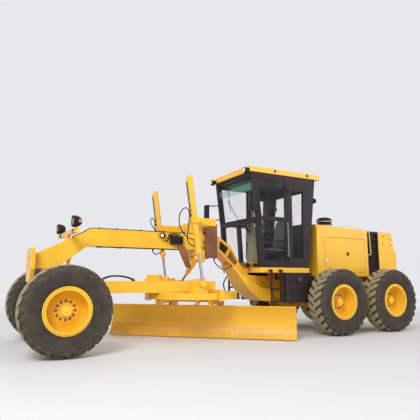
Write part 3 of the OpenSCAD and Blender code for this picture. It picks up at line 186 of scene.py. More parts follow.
def glass(name, tint, strip):
    """Thin cab glass: nearly clear, with a film of dust and a green strip across the windscreen."""
    mat, nt, surf = tree(name)
    place = own_place(nt)
    x, z = axis(nt, place, "X"), axis(nt, place, "Z")
    across = calc(nt, "MULTIPLY", steps(nt, z, 2.9, 2.96), steps(nt, z, 3.11, 3.05))
    shaded = calc(nt, "MULTIPLY", across, steps(nt, x, 0.03, 0.05))
    film = steps(nt, noise(nt, place, 7.0, 8.0, 0.7), 0.35, 0.75, 0.03, 0.065)
    wire(nt, surf, {"Alpha": calc(nt, "ADD", film, calc(nt, "MULTIPLY", shaded, 0.3)),
        "Base Color": blend(nt, shaded, tint, strip), "Roughness": 0.03})
    return mat


def weave(name, colour, thread):
    """Woven seat cloth: crossing threads in colour and bump, worn paler in patches."""
    mat, nt, surf = tree(name)
    place = own_place(nt)
    x, y, z = (waves(nt, place, 95.0, 0.6, way) for way in "XYZ")
    cloth = calc(nt, "MULTIPLY", calc(nt, "ADD", x, z), calc(nt, "ADD", y, 0.4))
    worn = steps(nt, noise(nt, place, 4.0, 6.0, 0.6), 0.35, 0.7)
    wire(nt, surf, {"Base Color": blend(nt, worn, blend(nt, cloth, colour, thread), thread),
        "Roughness": 0.92, "Sheen Weight": 0.35, "Normal": relief(nt, cloth, 0.5, 0.0012)})
    return mat


def bright(name, light, dark, low, high):
    """Ground or plated metal, faintly mottled."""
    mat, nt, surf = tree(name)
    fine = noise(nt, own_place(nt), 90.0, 3.0, 0.5)
    wire(nt, surf, {"Base Color": blend(nt, fine, light, dark), "Metallic": 1.0,
                    "Roughness": steps(nt, fine, 0.3, 0.7, low, high)})
    return mat


def lens(name, colour, pale):
    """A lamp's moulded lens, with fine flutes."""
    mat, nt, surf = tree(name)
    flutes = waves(nt, own_place(nt), 28.0, 0.4, "Y")
    wire(nt, surf, {"Base Color": blend(nt, flutes, colour, pale), "Roughness": 0.12,
                    "Coat Weight": 0.6, "Normal": relief(nt, flutes, 0.4, 0.002)})
    return mat


YELLOW = dusty("yellow_paint", rgb(250, 194, 40), rgb(244, 184, 32), 0.36, dust=0.08,
               low_dust=0.06, coat=0.25)
RIM_YELLOW = dusty("rim_yellow", rgb(255, 204, 48), rgb(246, 190, 38), 0.42, dust=0.12, low_dust=0.16)
BLACK = dusty("black_paint", rgb(38, 27, 31), rgb(48, 35, 40), 0.5, dust=0.06, low_dust=0.12, shine=0.25)
DARK = dusty("dark_steel", rgb(82, 54, 42), rgb(60, 42, 36), 0.6, dust=0.3, low_dust=0.35)
# Yellow paint as it looks in shadow: painted shade for yellow parts that lie in shade, used on the yoke,
# wheel nuts, a bay panel and the roof marks
SHADED_YELLOW = dusty("shaded_yellow_paint", rgb(150, 96, 56), rgb(126, 78, 48), 0.5, dust=0.2, low_dust=0.2)
EDGE = dusty("edge_steel", rgb(238, 184, 48), rgb(220, 166, 50), 0.42, dust=0.12, low_dust=0.12)
FITTING = dusty("bolt_steel", rgb(96, 84, 70), rgb(70, 62, 54), 0.4, metal=0.7, dust=0.2,
                low_dust=0.3, bevel=0.001)
RAIL = dusty("rail_paint", rgb(238, 218, 150), rgb(224, 202, 132), 0.4, low_dust=0.1, bevel=0.001)
PLASTIC = dusty("cab_plastic", rgb(148, 142, 112), rgb(128, 122, 98), 0.6, dust=0.12)
FABRIC = weave("seat_fabric", rgb(34, 31, 31), rgb(60, 55, 52))
RUBBER = rubber("tyre_rubber", rgb(56, 48, 45), rgb(76, 68, 60), tread_at=0.664)
HOSE = rubber("hose_rubber", rgb(34, 30, 32), rgb(50, 46, 46))
GLASS = glass("clear_glass", rgb(110, 126, 118), rgb(96, 178, 152))
CHROME = bright("rod_chrome", rgb(215, 215, 218), rgb(180, 180, 184), 0.12, 0.28)
MIRROR = bright("mirror_face", rgb(236, 238, 240), rgb(222, 224, 228), 0.02, 0.06)
WHITE_LENS = lens("white_lens", rgb(226, 228, 226), rgb(250, 250, 250))
AMBER_LENS = lens("amber_lens", rgb(226, 110, 20), rgb(244, 150, 50))
RED_LENS = lens("red_lens", rgb(170, 20, 18), rgb(210, 50, 40))

BY_SLOT = {
    "yellow_paint": YELLOW, "black_paint": BLACK, "dark_steel": DARK, "edge_steel": EDGE,
    "seat_fabric": FABRIC, "cab_plastic": PLASTIC, "tyre_rubber": RUBBER,
    "clear_glass": GLASS, "rod_chrome": CHROME,
}
# The shift yoke's plates are painted shade: they take the shaded yellow, not the yellow paint
BY_NODE = {"shift_yoke": SHADED_YELLOW, "valve_block": BLACK}
BY_NODE.update(("rim_" + wheel, RIM_YELLOW) for wheel in WHEELS)
# Faces lower than this on the headlamps, and than this above a lift rod's foot, are yellow
BRACKET_TOP, ROD_HEAD = 1.955, 0.122


def yellow_below(name, height):
    """Gives yellow paint to the faces of a CAD node that lie lower than a height."""
    mesh = NODES[name].data
    mesh.materials.append(YELLOW)
    for face in mesh.polygons:
        if face.center.z < height:
            face.material_index = 1


def finish_nodes():
    for part in frame["record"]["subparts"]:
        finish = BY_NODE.get(part["node"], BY_SLOT[part["material_slot"]])
        mesh = NODES[part["node"]].data
        mesh.materials.clear()
        mesh.materials.append(finish)
    yellow_below("headlamps", BRACKET_TOP)
    for rod in ("lift_rod_left", "lift_rod_right"):
        yellow_below(rod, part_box(rod)[0].z + ROD_HEAD)


# Forms, gathered into meshes

class Shape:
    """Corners and faces of one mesh, each face with the number of its material."""

    def __init__(self):
        self.points = []
        self.faces = []
        self.finish = []

    def add(self, form, at=None, finish=0):
        """Adds (points, faces), moved by a matrix or to a place."""
        points, faces = form
        if not isinstance(at, Matrix):
            at = Matrix.Translation(at or (0, 0, 0))
        start = len(self.points)
        self.points += [tuple(at @ Vector(p)) for p in points]
        self.faces += [tuple(start + i for i in face) for face in faces]
        self.finish += [finish] * len(faces)
        return self


def piece(name, shape, finishes, body, sharp=35.0, place=(0, 0, 0)):
    """Makes the object of a shape, which rides on a body and gives its faces the listed finishes."""
    mesh = bpy.data.meshes.new(name)
    mesh.from_pydata(shape.points, [], shape.faces)
    for finish in finishes:
        mesh.materials.append(finish)
    mesh.polygons.foreach_set("material_index", shape.finish)
    bm = bmesh.new()
    bm.from_mesh(mesh)
    bmesh.ops.recalc_face_normals(bm, faces=bm.faces)
    bm.to_mesh(mesh)
    bm.free()
    mesh.shade_smooth()
    mesh.set_sharp_from_angle(angle=math.radians(sharp))
    return put(name, mesh, body, place)


def linked(name, data):
    made = bpy.data.objects.new(name, data)
    SCENE.collection.objects.link(made)
    return made


def put(name, mesh, body, place=(0, 0, 0), turn=0.0):
    made = linked(name, mesh)
    made.location = place
    made.rotation_euler = (0.0, turn, 0.0)
    if body is not None:
        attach(made, body)
    return made


def aimed(place, way, twist=0.0):
    """Matrix that takes a form's origin to a place and its +Z along a way."""
    turn = Vector(way).normalized().to_track_quat("Z", "Y").to_matrix().to_4x4()
    return Matrix.Translation(place) @ turn @ Matrix.Rotation(twist, 4, "Z")


def around(sides):
    """Cosine and sine of the steps of a full turn."""
    return [(math.cos(2 * math.pi * i / sides), math.sin(2 * math.pi * i / sides)) for i in range(sides)]


def swell(value, power):
    """A value of -1..1 to a power, with its sign kept: it turns a circle into a rounded square."""
    return math.copysign(abs(value) ** power, value)


def lathe(profile, sides=32, closed=False):
    """A profile of (radius, height) turned about +Z."""
    points = []
    rings = []
    for radius, height in profile:
        if radius < 1e-6:
            rings.append([len(points)] * sides)
            points.append((0.0, 0.0, height))
        else:
            rings.append(list(range(len(points), len(points) + sides)))
            points += [(radius * c, radius * s, height) for c, s in around(sides)]
    faces = []
    for low, high in zip(rings, rings[1:] + (rings[:1] if closed else [])):
        for i in range(sides):
            j = (i + 1) % sides
            corners = list(dict.fromkeys((low[i], low[j], high[j], high[i])))
            if len(corners) > 2:
                faces.append(corners)
    return points, faces


def button(radius, edge, crown, top, sink=0.002, sides=24):
    """A round button about +Z: straight up to a height, then drawn in to its crown."""
    return lathe([(0, -sink), (radius, -sink), (radius, edge), (crown, top), (0, top)], sides)


def band(inner, outer, low, high, sides):
    """A flat ring between two radii and two heights."""
    return lathe([(inner, low), (outer, low), (outer, high), (inner, high)], sides, closed=True)


def ring(radius, thick, sides):
    """A round ring about +Z."""
    return lathe([(radius + thick * c, thick * s) for c, s in around(8)], sides, closed=True)


def eased(points, per=8):
    """A smooth path through points, as Catmull-Rom curves."""
    given = [Vector(p) for p in points]
    ends = [2 * given[0] - given[1]] + given + [2 * given[-1] - given[-2]]
    path = []
    for a, b, c, d in zip(ends, ends[1:], ends[2:], ends[3:]):
        for k in range(per):
            t = k / per
            path.append(0.5 * (2 * b + (c - a) * t + (2 * a - 5 * b + 4 * c - d) * t * t
                               + (3 * b - a - 3 * c + d) * t ** 3))
    return path + [given[-1]]


def tube(path, radius, sides=12):
    """A round tube along a path, closed at its ends."""
    path = [Vector(p) for p in path]
    points = []
    side = None
    for i, place in enumerate(path):
        along = (path[min(i + 1, len(path) - 1)] - path[max(i - 1, 0)]).normalized()
        side = along.orthogonal() if side is None else side - along * side.dot(along)
        side.normalize()
        other = along.cross(side)
        points += [place + (side * c + other * s) * radius for c, s in around(sides)]
    faces = strips(len(path), sides, wrap=True)
    last = (len(path) - 1) * sides
    faces += [tuple(range(sides)), tuple(range(last, last + sides))]
    return points, faces


def strips(rows, across, wrap=False):
    """Faces between rows of points, with the last point of a row joined to its first if they wrap."""
    steps_across = across if wrap else across - 1
    return [(k * across + i, k * across + (i + 1) % across,
             (k + 1) * across + (i + 1) % across, (k + 1) * across + i)
            for k in range(rows - 1) for i in range(steps_across)]


def softened(bm, bevel, segments):
    bmesh.ops.bevel(bm, geom=bm.edges[:], offset=bevel, segments=segments, affect="EDGES",
                    clamp_overlap=True)
    bm.verts.index_update()
    form = [v.co.copy() for v in bm.verts], [[v.index for v in f.verts] for f in bm.faces]
    bm.free()
    return form


def block(low, high, bevel=0.004):
    """A block between two corners with rounded edges."""
    bm = bmesh.new()
    bmesh.ops.create_cube(bm, size=1.0)
    middle = (Vector(low) + Vector(high)) / 2
    size = Vector(high) - Vector(low)
    for v in bm.verts:
        v.co = Vector((v.co.x * size.x, v.co.y * size.y, v.co.z * size.z)) + middle
    return softened(bm, bevel, 2)


def plate(outline, thick, bevel=0.002):
    """A flat outline of (x, y) raised along +Z, with softened edges."""
    bm = bmesh.new()
    low = [bm.verts.new((x, y, 0.0)) for x, y in outline]
    high = [bm.verts.new((x, y, thick)) for x, y in outline]
    bm.faces.new(low[::-1])
    bm.faces.new(high)
    for i in range(len(outline)):
        j = (i + 1) % len(outline)
        bm.faces.new((low[i], low[j], high[j], high[i]))
    return softened(bm, bevel, 1)


def bolt(shape, place, way, size=0.012, high=0.012, finish=0):
    """A hexagon bolt head on its washer, standing on a place and pointing along a way."""
    washer = lathe([(0, -0.002), (1.45 * size, -0.002), (1.45 * size, 0.003), (0, 0.003)], 20)
    head = lathe([(size, 0.0), (size, high * 0.85), (size * 0.86, high), (0, high)], 6)
    shape.add(washer, aimed(place, way), finish)
    shape.add(head, aimed(place, way), finish)


def touch(name, start, way):
    """Where a ray first meets a CAD node at rest, and the face's normal there."""
    hit, place, normal, _ = NODES[name].ray_cast(Vector(start), Vector(way))
    if not hit:
        raise ValueError(f"no part of {name} lies along {way} from {start}")
    return place, normal


def on_top(name, x, y, start=3.0):
    """The place on top of a CAD node."""
    return touch(name, (x, y, start), (0, 0, -1))[0]


def on_side(name, x, z, s, start=1.2):
    """The place on the outer face of a CAD node, on side s."""
    return touch(name, (x, start * s, z), (0, -s, 0))[0]


def under_beam(x, y):
    return touch("front_frame", (x, y, 1.0), (0, 0, 1))[0]


def mirrored(points, s):
    """Points given for the left side, on side s."""
    return [Vector((x, y * s, z)) for x, y, z in points]


def hose(name, points, radius, body):
    """A hose held at both ends, with a crimped sleeve and a hexagon nut on each end."""
    path = eased(points)
    shape = Shape().add(tube(path, radius))
    for a, b in ((path[0], path[1]), (path[-1], path[-2])):
        sleeve = lathe([(0, -0.006), (radius * 1.1, -0.006), (radius * 1.5, 0.002),
                        (radius * 1.5, 0.034), (radius * 1.15, 0.04), (0, 0.04)], 16)
        nut = lathe([(0, -0.004), (radius * 1.9, -0.004), (radius * 1.9, 0.014),
                     (radius * 1.7, 0.017), (0, 0.017)], 6)
        shape.add(sleeve, aimed(a, b - a), 1)
        shape.add(nut, aimed(a, b - a), 1)
    piece(name, shape, [HOSE, FITTING], body, sharp=50.0)


def both(make):
    """Runs a maker for the left side, +1, and the right side, -1."""
    for s, side in ((1, "left"), (-1, "right")):
        make(s, side)


# Wheels: six tyres share one mesh, and each rim gets its nuts, ring, cap bolts and valve

LUGS = 26
TREAD_RADIUS = 0.675
# Sections of a lug from the middle of the tread outwards: its top and its foot, each across the
# tyre and from the axle, its turn backwards and half its width
LUG = [(-0.012, 0.675, -0.012, 0.64, -0.008, 0.055), (0.03, 0.675, 0.03, 0.64, 0.018, 0.055),
       (0.075, 0.675, 0.075, 0.64, 0.046, 0.054), (0.115, 0.6745, 0.112, 0.64, 0.071, 0.053),
       (0.15, 0.671, 0.144, 0.638, 0.092, 0.052), (0.178, 0.663, 0.164, 0.634, 0.105, 0.051),
       (0.197, 0.65, 0.178, 0.624, 0.113, 0.05), (0.208, 0.634, 0.189, 0.612, 0.117, 0.049),
       (0.2145, 0.615, 0.197, 0.6, 0.119, 0.048), (0.219, 0.596, 0.205, 0.588, 0.12, 0.046),
       (0.2195, 0.578, 0.21, 0.575, 0.12, 0.043)]
LUG_EDGE = 0.18   # how far down the flank its top edge is rounded
# Section of the tyre below the lugs, as (radius, across), from the bead to the middle of the tread
CARCASS = [(0.319, 0.158), (0.3195, 0.1646), (0.352, 0.1655), (0.362, 0.172), (0.375, 0.1835),
           (0.386, 0.1925), (0.39, 0.1985), (0.397, 0.199), (0.402, 0.1955), (0.43, 0.208),
           (0.468, 0.216), (0.505, 0.219), (0.538, 0.2195), (0.542, 0.222), (0.549, 0.222),
           (0.553, 0.2188), (0.575, 0.215), (0.6, 0.207), (0.622, 0.195), (0.638, 0.176),
           (0.646, 0.14), (0.648, 0.07), (0.648, 0.0)]
# Circles of bolts on a rim, by radius, with the seat of their heads out from the wheel's middle
NUT_CIRCLE, NUT_SEAT = 0.139, -0.016
CAP_CIRCLE, CAP_FACE = 0.062, 0.06
LOCK_RING, LOCK_SEAT = 0.326, 0.18
VALVE = [(0.302, 0.09, 0.0), (0.288, 0.1, 0.0), (0.282, 0.125, 0.0), (0.281, 0.155, 0.0)]


def lug(shape, side, start):
    """One slanted lug, from the middle of the tread over the shoulder to the sidewall."""
    points = []
    for top_y, top_r, foot_y, foot_r, turn, half in LUG:
        edge_y = top_y + (foot_y - top_y) * LUG_EDGE
        edge_r = top_r + (foot_r - top_r) * LUG_EDGE
        for y, r, w in ((foot_y, foot_r, -half - 0.008), (edge_y, edge_r, -half),
                        (top_y, top_r, -half + 0.006), (top_y, top_r, half - 0.006),
                        (edge_y, edge_r, half), (foot_y, foot_r, half + 0.008)):
            a = start + (turn + w) / TREAD_RADIUS
            points.append((r * math.cos(a), side * y, r * math.sin(a)))
    across = 6
    last = (len(LUG) - 1) * across
    ends = [tuple(range(across)), tuple(range(last, last + across))]
    shape.add((points, strips(len(LUG), across) + ends))


def tyre_mesh():
    shape = Shape()
    profile = CARCASS + [(r, -y) for r, y in CARCASS[-2::-1]]
    shape.add(lathe(profile, 4 * LUGS), aimed((0, 0, 0), (0, 1, 0)))
    for side in (1, -1):
        for i in range(LUGS):
            lug(shape, side, 2 * math.pi * (i + (0.5 if side > 0 else 0.0)) / LUGS)
    made = piece("tyre_form", shape, [RUBBER], None, sharp=32.0)
    mesh = made.data
    bpy.data.objects.remove(made)
    return mesh


def wheel_trim(name, centre, s):
    """Nuts on the disc, the lock ring, the cap's bolts and the valve of one rim, in its own place. The
    nuts and their studs take the shaded yellow, painted shade on the inboard disc.
    """
    shape = Shape()
    out = (0, s, 0)
    for c, d in around(12):
        seat = (NUT_CIRCLE * c, NUT_SEAT * s, NUT_CIRCLE * d)
        bolt(shape, seat, out, 0.0145, 0.022)
        stud = lathe([(0, 0.02), (0.0075, 0.02), (0.0075, 0.034), (0, 0.036)], 10)
        shape.add(stud, aimed(seat, out))
    for c, d in around(8):
        bolt(shape, (CAP_CIRCLE * c, CAP_FACE * s, CAP_CIRCLE * d), out, 0.008, 0.008, 1)
    boss = lathe([(0, 0), (0.03, 0), (0.03, 0.004), (0.022, 0.01), (0, 0.012)], 24)
    shape.add(boss, aimed((0, CAP_FACE * s, 0), out), 1)
    shape.add(ring(LOCK_RING, 0.0042, 96), aimed((0, LOCK_SEAT * s, 0), out), 1)
    shape.add(band(0.3345, 0.3375, 0.0, 0.0012, 96), aimed((0, (LOCK_SEAT - 0.0003) * s, 0), out), 2)
    shape.add(tube(eased(mirrored(VALVE, s)), 0.0045, 10), finish=2)
    piece("wheel_trim_" + name, shape, [SHADED_YELLOW, RIM_YELLOW, HOSE], "wheel_" + name,
          place=centre)


def wheels():
    form = tyre_mesh()
    for k, name in enumerate(WHEELS):
        low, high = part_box("tyre_" + name)
        centre = (low + high) / 2
        tyre = put("tread_" + name, form, "wheel_" + name, centre, turn=0.5 * math.pi * k)
        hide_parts("tyre_" + name)
        wheel_trim(name, centre, 1 if centre.y > 0 else -1)


# Front frame: bolts, pipes on the beam, panels of painted shade in its bays, hoses and lamps

PIPE = 0.0085
PIPES_Y = (0.125, 0.15)
PIPES_X = (1.17, 1.6, 2.0, 2.4, 2.8, 3.05, 3.13, 3.2, 3.3, 3.42, 3.485)
CLIPS_X = (1.35, 1.8, 2.25, 2.7, 3.02)
LOW_PIPE_X = (1.35, 1.9, 2.4, 2.8, 3.0, 3.06)
LOW_PIPE_Y = 0.135
LOW_CLIPS_X = (3.01, 2.65)
# Corners (x, z) of the two sunken bays on each side of the descending beam
BAYS = ([(0.55, 1.9), (0.34, 1.755), (0.43, 1.61), (0.58, 1.745)],
        [(0.3, 1.72), (0.125, 1.46), (0.2, 1.4), (0.395, 1.575)])


def beam_details():
    """Bolts of the front plate, pipes along the beam's top and underside, and their clips."""
    shape = Shape()
    for y in (0.1, -0.1):
        for z in (1.34, 1.49):
            place, _ = touch("front_plate", (4.6, y, z), (-1, 0, 0))
            bolt(shape, place, (1, 0, 0), 0.018, 0.018, 3)
    for y in PIPES_Y:
        path = [on_top("front_frame", x, y) + Vector((0, 0, PIPE)) for x in PIPES_X]
        shape.add(tube(path, PIPE), finish=1)
    for x in CLIPS_X:
        place = on_top("front_frame", x, sum(PIPES_Y) / 2)
        shape.add(block((-0.016, -0.032, 0.0), (0.016, 0.032, 0.024), 0.003), place, 2)
        bolt(shape, place + Vector((0, 0, 0.024)), (0, 0, 1), 0.007, 0.007)
    for x in LOW_CLIPS_X:
        for dx in (-0.027, 0.027):
            place = under_beam(x + dx, LOW_PIPE_Y)
            shape.add(block((-0.014, -0.022, -0.022), (0.014, 0.022, 0.001), 0.003), place, 2)
            bolt(shape, place - Vector((0, 0, 0.022)), (0, 0, -1), 0.008, 0.01)
    path = [under_beam(x, LOW_PIPE_Y) - Vector((0, 0, 0.01)) for x in LOW_PIPE_X]
    shape.add(tube(path, 0.0095), finish=1)
    piece("beam_details", shape, [FITTING, HOSE, BLACK, YELLOW], "front")


# Routes on the left from a lift cylinder's ports, each with the place (x, z) on the saddle where it ends
LIFT_HOSES = {
    "loop": ([(1.572, 0.85, 2.287), (1.592, 0.85, 2.345), (1.635, 0.835, 2.405),
              (1.7, 0.79, 2.37), (1.715, 0.7, 2.25), (1.63, 0.56, 2.08),
              (1.44, 0.4, 1.945), (1.24, 0.28, 1.89)], (1.1, 1.88)),
    "drop": ([(1.565, 0.85, 2.262), (1.585, 0.845, 2.205), (1.57, 0.8, 2.08),
              (1.5, 0.6, 1.9), (1.33, 0.36, 1.79), (1.12, 0.26, 1.745)], (1.02, 1.74)),
}


def lift_hoses(s, side):
    """Two hoses from the ports of a lift cylinder to the saddle's clamp. The cylinder turns by under
    two degrees about its trunnions, close to the ports, so the hoses keep to the front frame and
    collars on the barrel hide the few millimetres between them."""
    collars = Shape()
    for name, (route, (end_x, end_z)) in LIFT_HOSES.items():
        clamp = on_side("lift_saddle", end_x, end_z, s, start=0.6)
        points = mirrored(route, s)
        hose(f"lift_hose_{name}_{side}", points + [clamp + Vector((0, 0.045 * s, 0)), clamp],
             0.0095, "front")
        collar = lathe([(0, -0.024), (0.019, -0.024), (0.024, -0.018), (0.024, 0.012),
                        (0.02, 0.018), (0, 0.018)], 24)
        collars.add(collar, aimed(points[0], points[1] - points[0]))
    piece("lift_hose_collars_" + side, collars, [FITTING], "lift_barrel_" + side)


def lift_pipe(s, side):
    """The black pipe along the front of a lift cylinder, over the barrel's own."""
    name = "lift_barrel_" + side
    ends = []
    for z in (2.36, 2.8):
        place, normal = touch(name, (2.4, 0.85 * s, z), (-1, 0, 0))
        ends.append(place - normal * 0.009)
    along = (ends[1] - ends[0]).normalized()
    path = [ends[0] - along * 0.045, ends[1] + along * 0.075]
    piece("lift_pipe_" + side, Shape().add(tube(path, 0.0112, 16)), [BLACK], name)


def bay_shade_panels():
    """Painted shade in the two sunken bays on each side of the descending beam: a black panel in the
    upper bay and a shaded-yellow one in the lower, held by small bolts.
    """
    shape = Shape()
    for s in (1, -1):
        for finish, outline in enumerate(BAYS):
            x, z = Vector([sum(values) / 4 for values in zip(*outline)])
            back = on_side("front_frame", x, z, s, start=1.0)
            flat = [(0.95 * (u - x), 0.95 * (v - z)) for u, v in outline]
            upright = Matrix(((1, 0, 0, back.x), (0, 0, s, back.y - 0.001 * s),
                              (0, 1, 0, back.z), (0, 0, 0, 1)))
            shape.add(plate(flat, 0.006), upright, finish)
            for u, v in flat:
                bolt(shape, back + Vector((0.8 * u, 0.005 * s, 0.8 * v)), (0, s, 0), 0.0075, 0.007, 2)
    piece("beam_shade_panels", shape, [BLACK, SHADED_YELLOW, FITTING], "front")


def frame_hoses():
    """Hoses under the beam, at the valves, at the beam's foot and on the drawbar."""
    first, last = under_beam(1.9, -0.11), under_beam(1.7, -0.11)
    hose("beam_hose_loop", [first, first - Vector((0, 0, 0.05)), (1.84, -0.11, 1.6),
                            (1.768, -0.11, 1.628), last - Vector((0, 0, 0.03)), last], 0.0095, "front")
    for k, (x, y) in enumerate(((1.47, 0.196), (1.53, 0.222), (1.59, 0.248))):
        top = on_top("valve_block", x, y, start=2.4)
        side = on_side("front_frame", 1.69 + 0.02 * k, 1.95 - 0.05 * k, 1, start=1.0)
        hose(f"valve_hose_{k}", [top, top + Vector((0.004, 0, 0.026)), (x + 0.035, y, top.z + 0.046),
                                 (1.655 + 0.015 * k, y, top.z + 0.04 - 0.015 * k),
                                 side + Vector((0.004, y - side.y, 0.006)),
                                 side + Vector((0, 0.012, 0)), side], 0.0085, "front")
    foot = on_side("front_frame", 0.3, 1.4, 1, start=1.0)
    yoke, _ = touch("shift_yoke", (0.7, 0.188, 1.2), (0, 0, 1))
    hose("foot_hose", [yoke, yoke - Vector((0, 0, 0.06)), (0.64, 0.22, 1.39), (0.52, 0.26, 1.32),
                       foot + Vector((0.07, 0.065, -0.02)), foot], 0.0105, "front")
    for k, off in enumerate((0.0, -0.042)):
        first = on_top("drawbar", 2.93, 0.105 + off, start=2.0)
        last = on_top("drawbar", 2.38, 0.225 + off, start=2.0)
        hose(f"drawbar_hose_{k}", [first, first + Vector((-0.02, 0.0, 0.035)),
                                   (2.82, 0.13 + off, 1.166), (2.7, 0.155 + off, 1.182),
                                   (2.55, 0.188 + off, 1.17),
                                   last + Vector((0.02, 0.0, 0.035)), last], 0.015, "drawbar")


def lamp_face(shape, place, way, radius, finish=0, deep=0.004):
    """A domed lens in a thin black rim, its back on a place."""
    glass_radius = radius * 0.93
    dome = [(glass_radius * math.cos(a), deep + radius * 0.16 * math.sin(a))
            for a in (0.0, 0.3, 0.6, 0.9, 1.2)] + [(0.0, deep + radius * 0.16)]
    rim = [(radius * 0.9, 0.0), (radius, 0.0), (radius, deep + 0.004),
           (radius * 0.95, deep + 0.007), (radius * 0.9, deep + 0.003)]
    at = aimed(place, way)
    shape.add(lathe([(0, 0), (glass_radius, 0)] + dome, 40), at, finish)
    shape.add(lathe(rim, 40, closed=True), at, 1)


# Finishes of the lamps' shapes, by number
LAMP_FINISHES = [WHITE_LENS, BLACK, AMBER_LENS, RED_LENS]
# Lamps on both sides: ridden body, node, ray's start (x, y, z), its way along X, radius, finish
LAMPS = [("front", "headlamps", (3.9, 0.7, 2.053), -1, 0.081, 0),
         ("front", "headlamps", (3.9, 0.55, 1.911), -1, 0.032, 2),
         ("rear", "fittings", (0.6, 0.69, 3.3), -1, 0.054, 0),
         ("rear", "tail_box", (-4.8, 0.4, 1.62), 1, 0.045, 3),
         ("rear", "tail_box", (-4.8, 0.29, 1.62), 1, 0.036, 2)]


def lamps():
    shapes = {"front": Shape(), "rear": Shape()}
    front = shapes["front"]
    for s in (1, -1):
        for body, name, (x, y, z), way, radius, finish in LAMPS:
            place, _ = touch(name, (x, y * s, z), (way, 0, 0))
            lamp_face(shapes[body], place, (-way, 0, 0), radius, finish)
        place, _ = touch("headlamps", (3.9, 0.735 * s, 1.911), (-1, 0, 0))
        bolt(front, place, (1, 0, 0), 0.009, 0.008, 1)
        place, out = touch("headlamps", (3.5, 1.5 * s, 2.053), (0, -s, 0))
        lamp_face(front, place, out, 0.034, 2, deep=0.01)
    # Work lamp on the beam's near side, ahead of the valves
    side = on_side("front_frame", 1.8, 1.94, 1, start=1.0)
    front.add(block((-0.03, -0.003, -0.03), (0.03, 0.04, 0.02)), side, 1)
    housing = lathe([(0, -0.075), (0.022, -0.072), (0.048, -0.045), (0.056, -0.01),
                     (0.056, 0.012), (0.044, 0.012), (0.04, 0.0), (0, 0.0)], 32)
    face = side + Vector((0.055, 0.085, 0.0))
    aim = Vector((0.75, 0.62, -0.22))
    front.add(housing, aimed(face, aim), 1)
    lamp_face(front, face, aim, 0.04)
    for body, shape in shapes.items():
        piece(body + "_lamp_lenses", shape, LAMP_FINISHES, body)


# Circle teeth, blade bolts and end plates

BLADE_TURN = math.radians(-40.8)
BLADE_OFF = -0.165   # how far the blade's middle is shifted along the blade
BLADE_ALONG = Vector((math.cos(BLADE_TURN), math.sin(BLADE_TURN), 0))
BLADE_FACING = Vector((-math.sin(BLADE_TURN), math.cos(BLADE_TURN), 0))
CIRCLE_MIDDLE = Vector((1.1, 0, 0))
TEETH = 72
TOOTH = [(0.722, -0.008), (0.742, -0.015), (0.742, 0.015), (0.722, 0.008)]
TEETH_Z, TOOTH_HIGH = 0.775, 0.09
EDGE_BOLTS, EDGE_REACH, EDGE_ROWS_Z = 19, 1.78, (0.085, 0.135)
# End plates: far and near side from the blade's middle, foot and top, thickness, and their bolts
END_FAR, END_NEAR, END_LOW, END_HIGH, END_THICK = 1.855, 1.715, 0.235, 0.61, 0.0045
END_BOLT, END_BOLTS_Z = 1.785, (0.3, 0.42, 0.54)


def on_blade(name, along, z):
    """A place on the blade's front, by its distance along the blade and its height."""
    start = CIRCLE_MIDDLE + BLADE_ALONG * (along + BLADE_OFF) + BLADE_FACING * 0.8
    return touch(name, start + Vector((0, 0, z)), -BLADE_FACING)


def circle_teeth():
    shape = Shape()
    middle = Matrix.Translation(CIRCLE_MIDDLE + Vector((0, 0, TEETH_Z)))
    for i in range(TEETH):
        turn = Matrix.Rotation(2 * math.pi * i / TEETH, 4, "Z")
        shape.add(plate(TOOTH, TOOTH_HIGH, 0.0015), middle @ turn)
    piece("circle_teeth", shape, [DARK], "circle")


def blade_bolts():
    shape = Shape()
    for k in range(EDGE_BOLTS):
        along = EDGE_REACH * (2 * k / (EDGE_BOLTS - 1) - 1)
        for z in EDGE_ROWS_Z:
            place, normal = on_blade("cutting_edge", along, z)
            shape.add(button(0.016, 0.002, 0.012, 0.005, sides=20), aimed(place, normal))
    piece("cutting_edge_bolts", shape, [EDGE], "blade")


def blade_ends():
    """Thin end plates that follow the blade's hollow face."""
    shape = Shape()
    rows = 13
    for end in (-1, 1):
        points = []
        for k in range(rows):
            z = END_LOW + (END_HIGH - END_LOW) * k / (rows - 1)
            for along, off in ((END_FAR, 0.0), (END_FAR, END_THICK), (END_NEAR, END_THICK),
                               (END_NEAR, 0.0)):
                place, normal = on_blade("blade", end * along, z)
                points.append(place + normal * off)
        ends = [(0, 1, 2, 3), tuple(range(4 * rows - 4, 4 * rows))]
        shape.add((points, strips(rows, 4) + ends))
        for z in END_BOLTS_Z:
            place, normal = on_blade("blade", end * END_BOLT, z)
            bolt(shape, place + normal * END_THICK, normal, 0.012, 0.008)
    piece("blade_end_plates", shape, [YELLOW], "blade")


# Cab

CAB_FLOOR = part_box("seat")[0].z
SEAT_X = -0.86
PAD_ROWS, PAD_STEPS, SEAM_STEPS = 23, 44, 96
CHANNEL_HALF, CHANNEL_DEEP = 0.011, 0.014


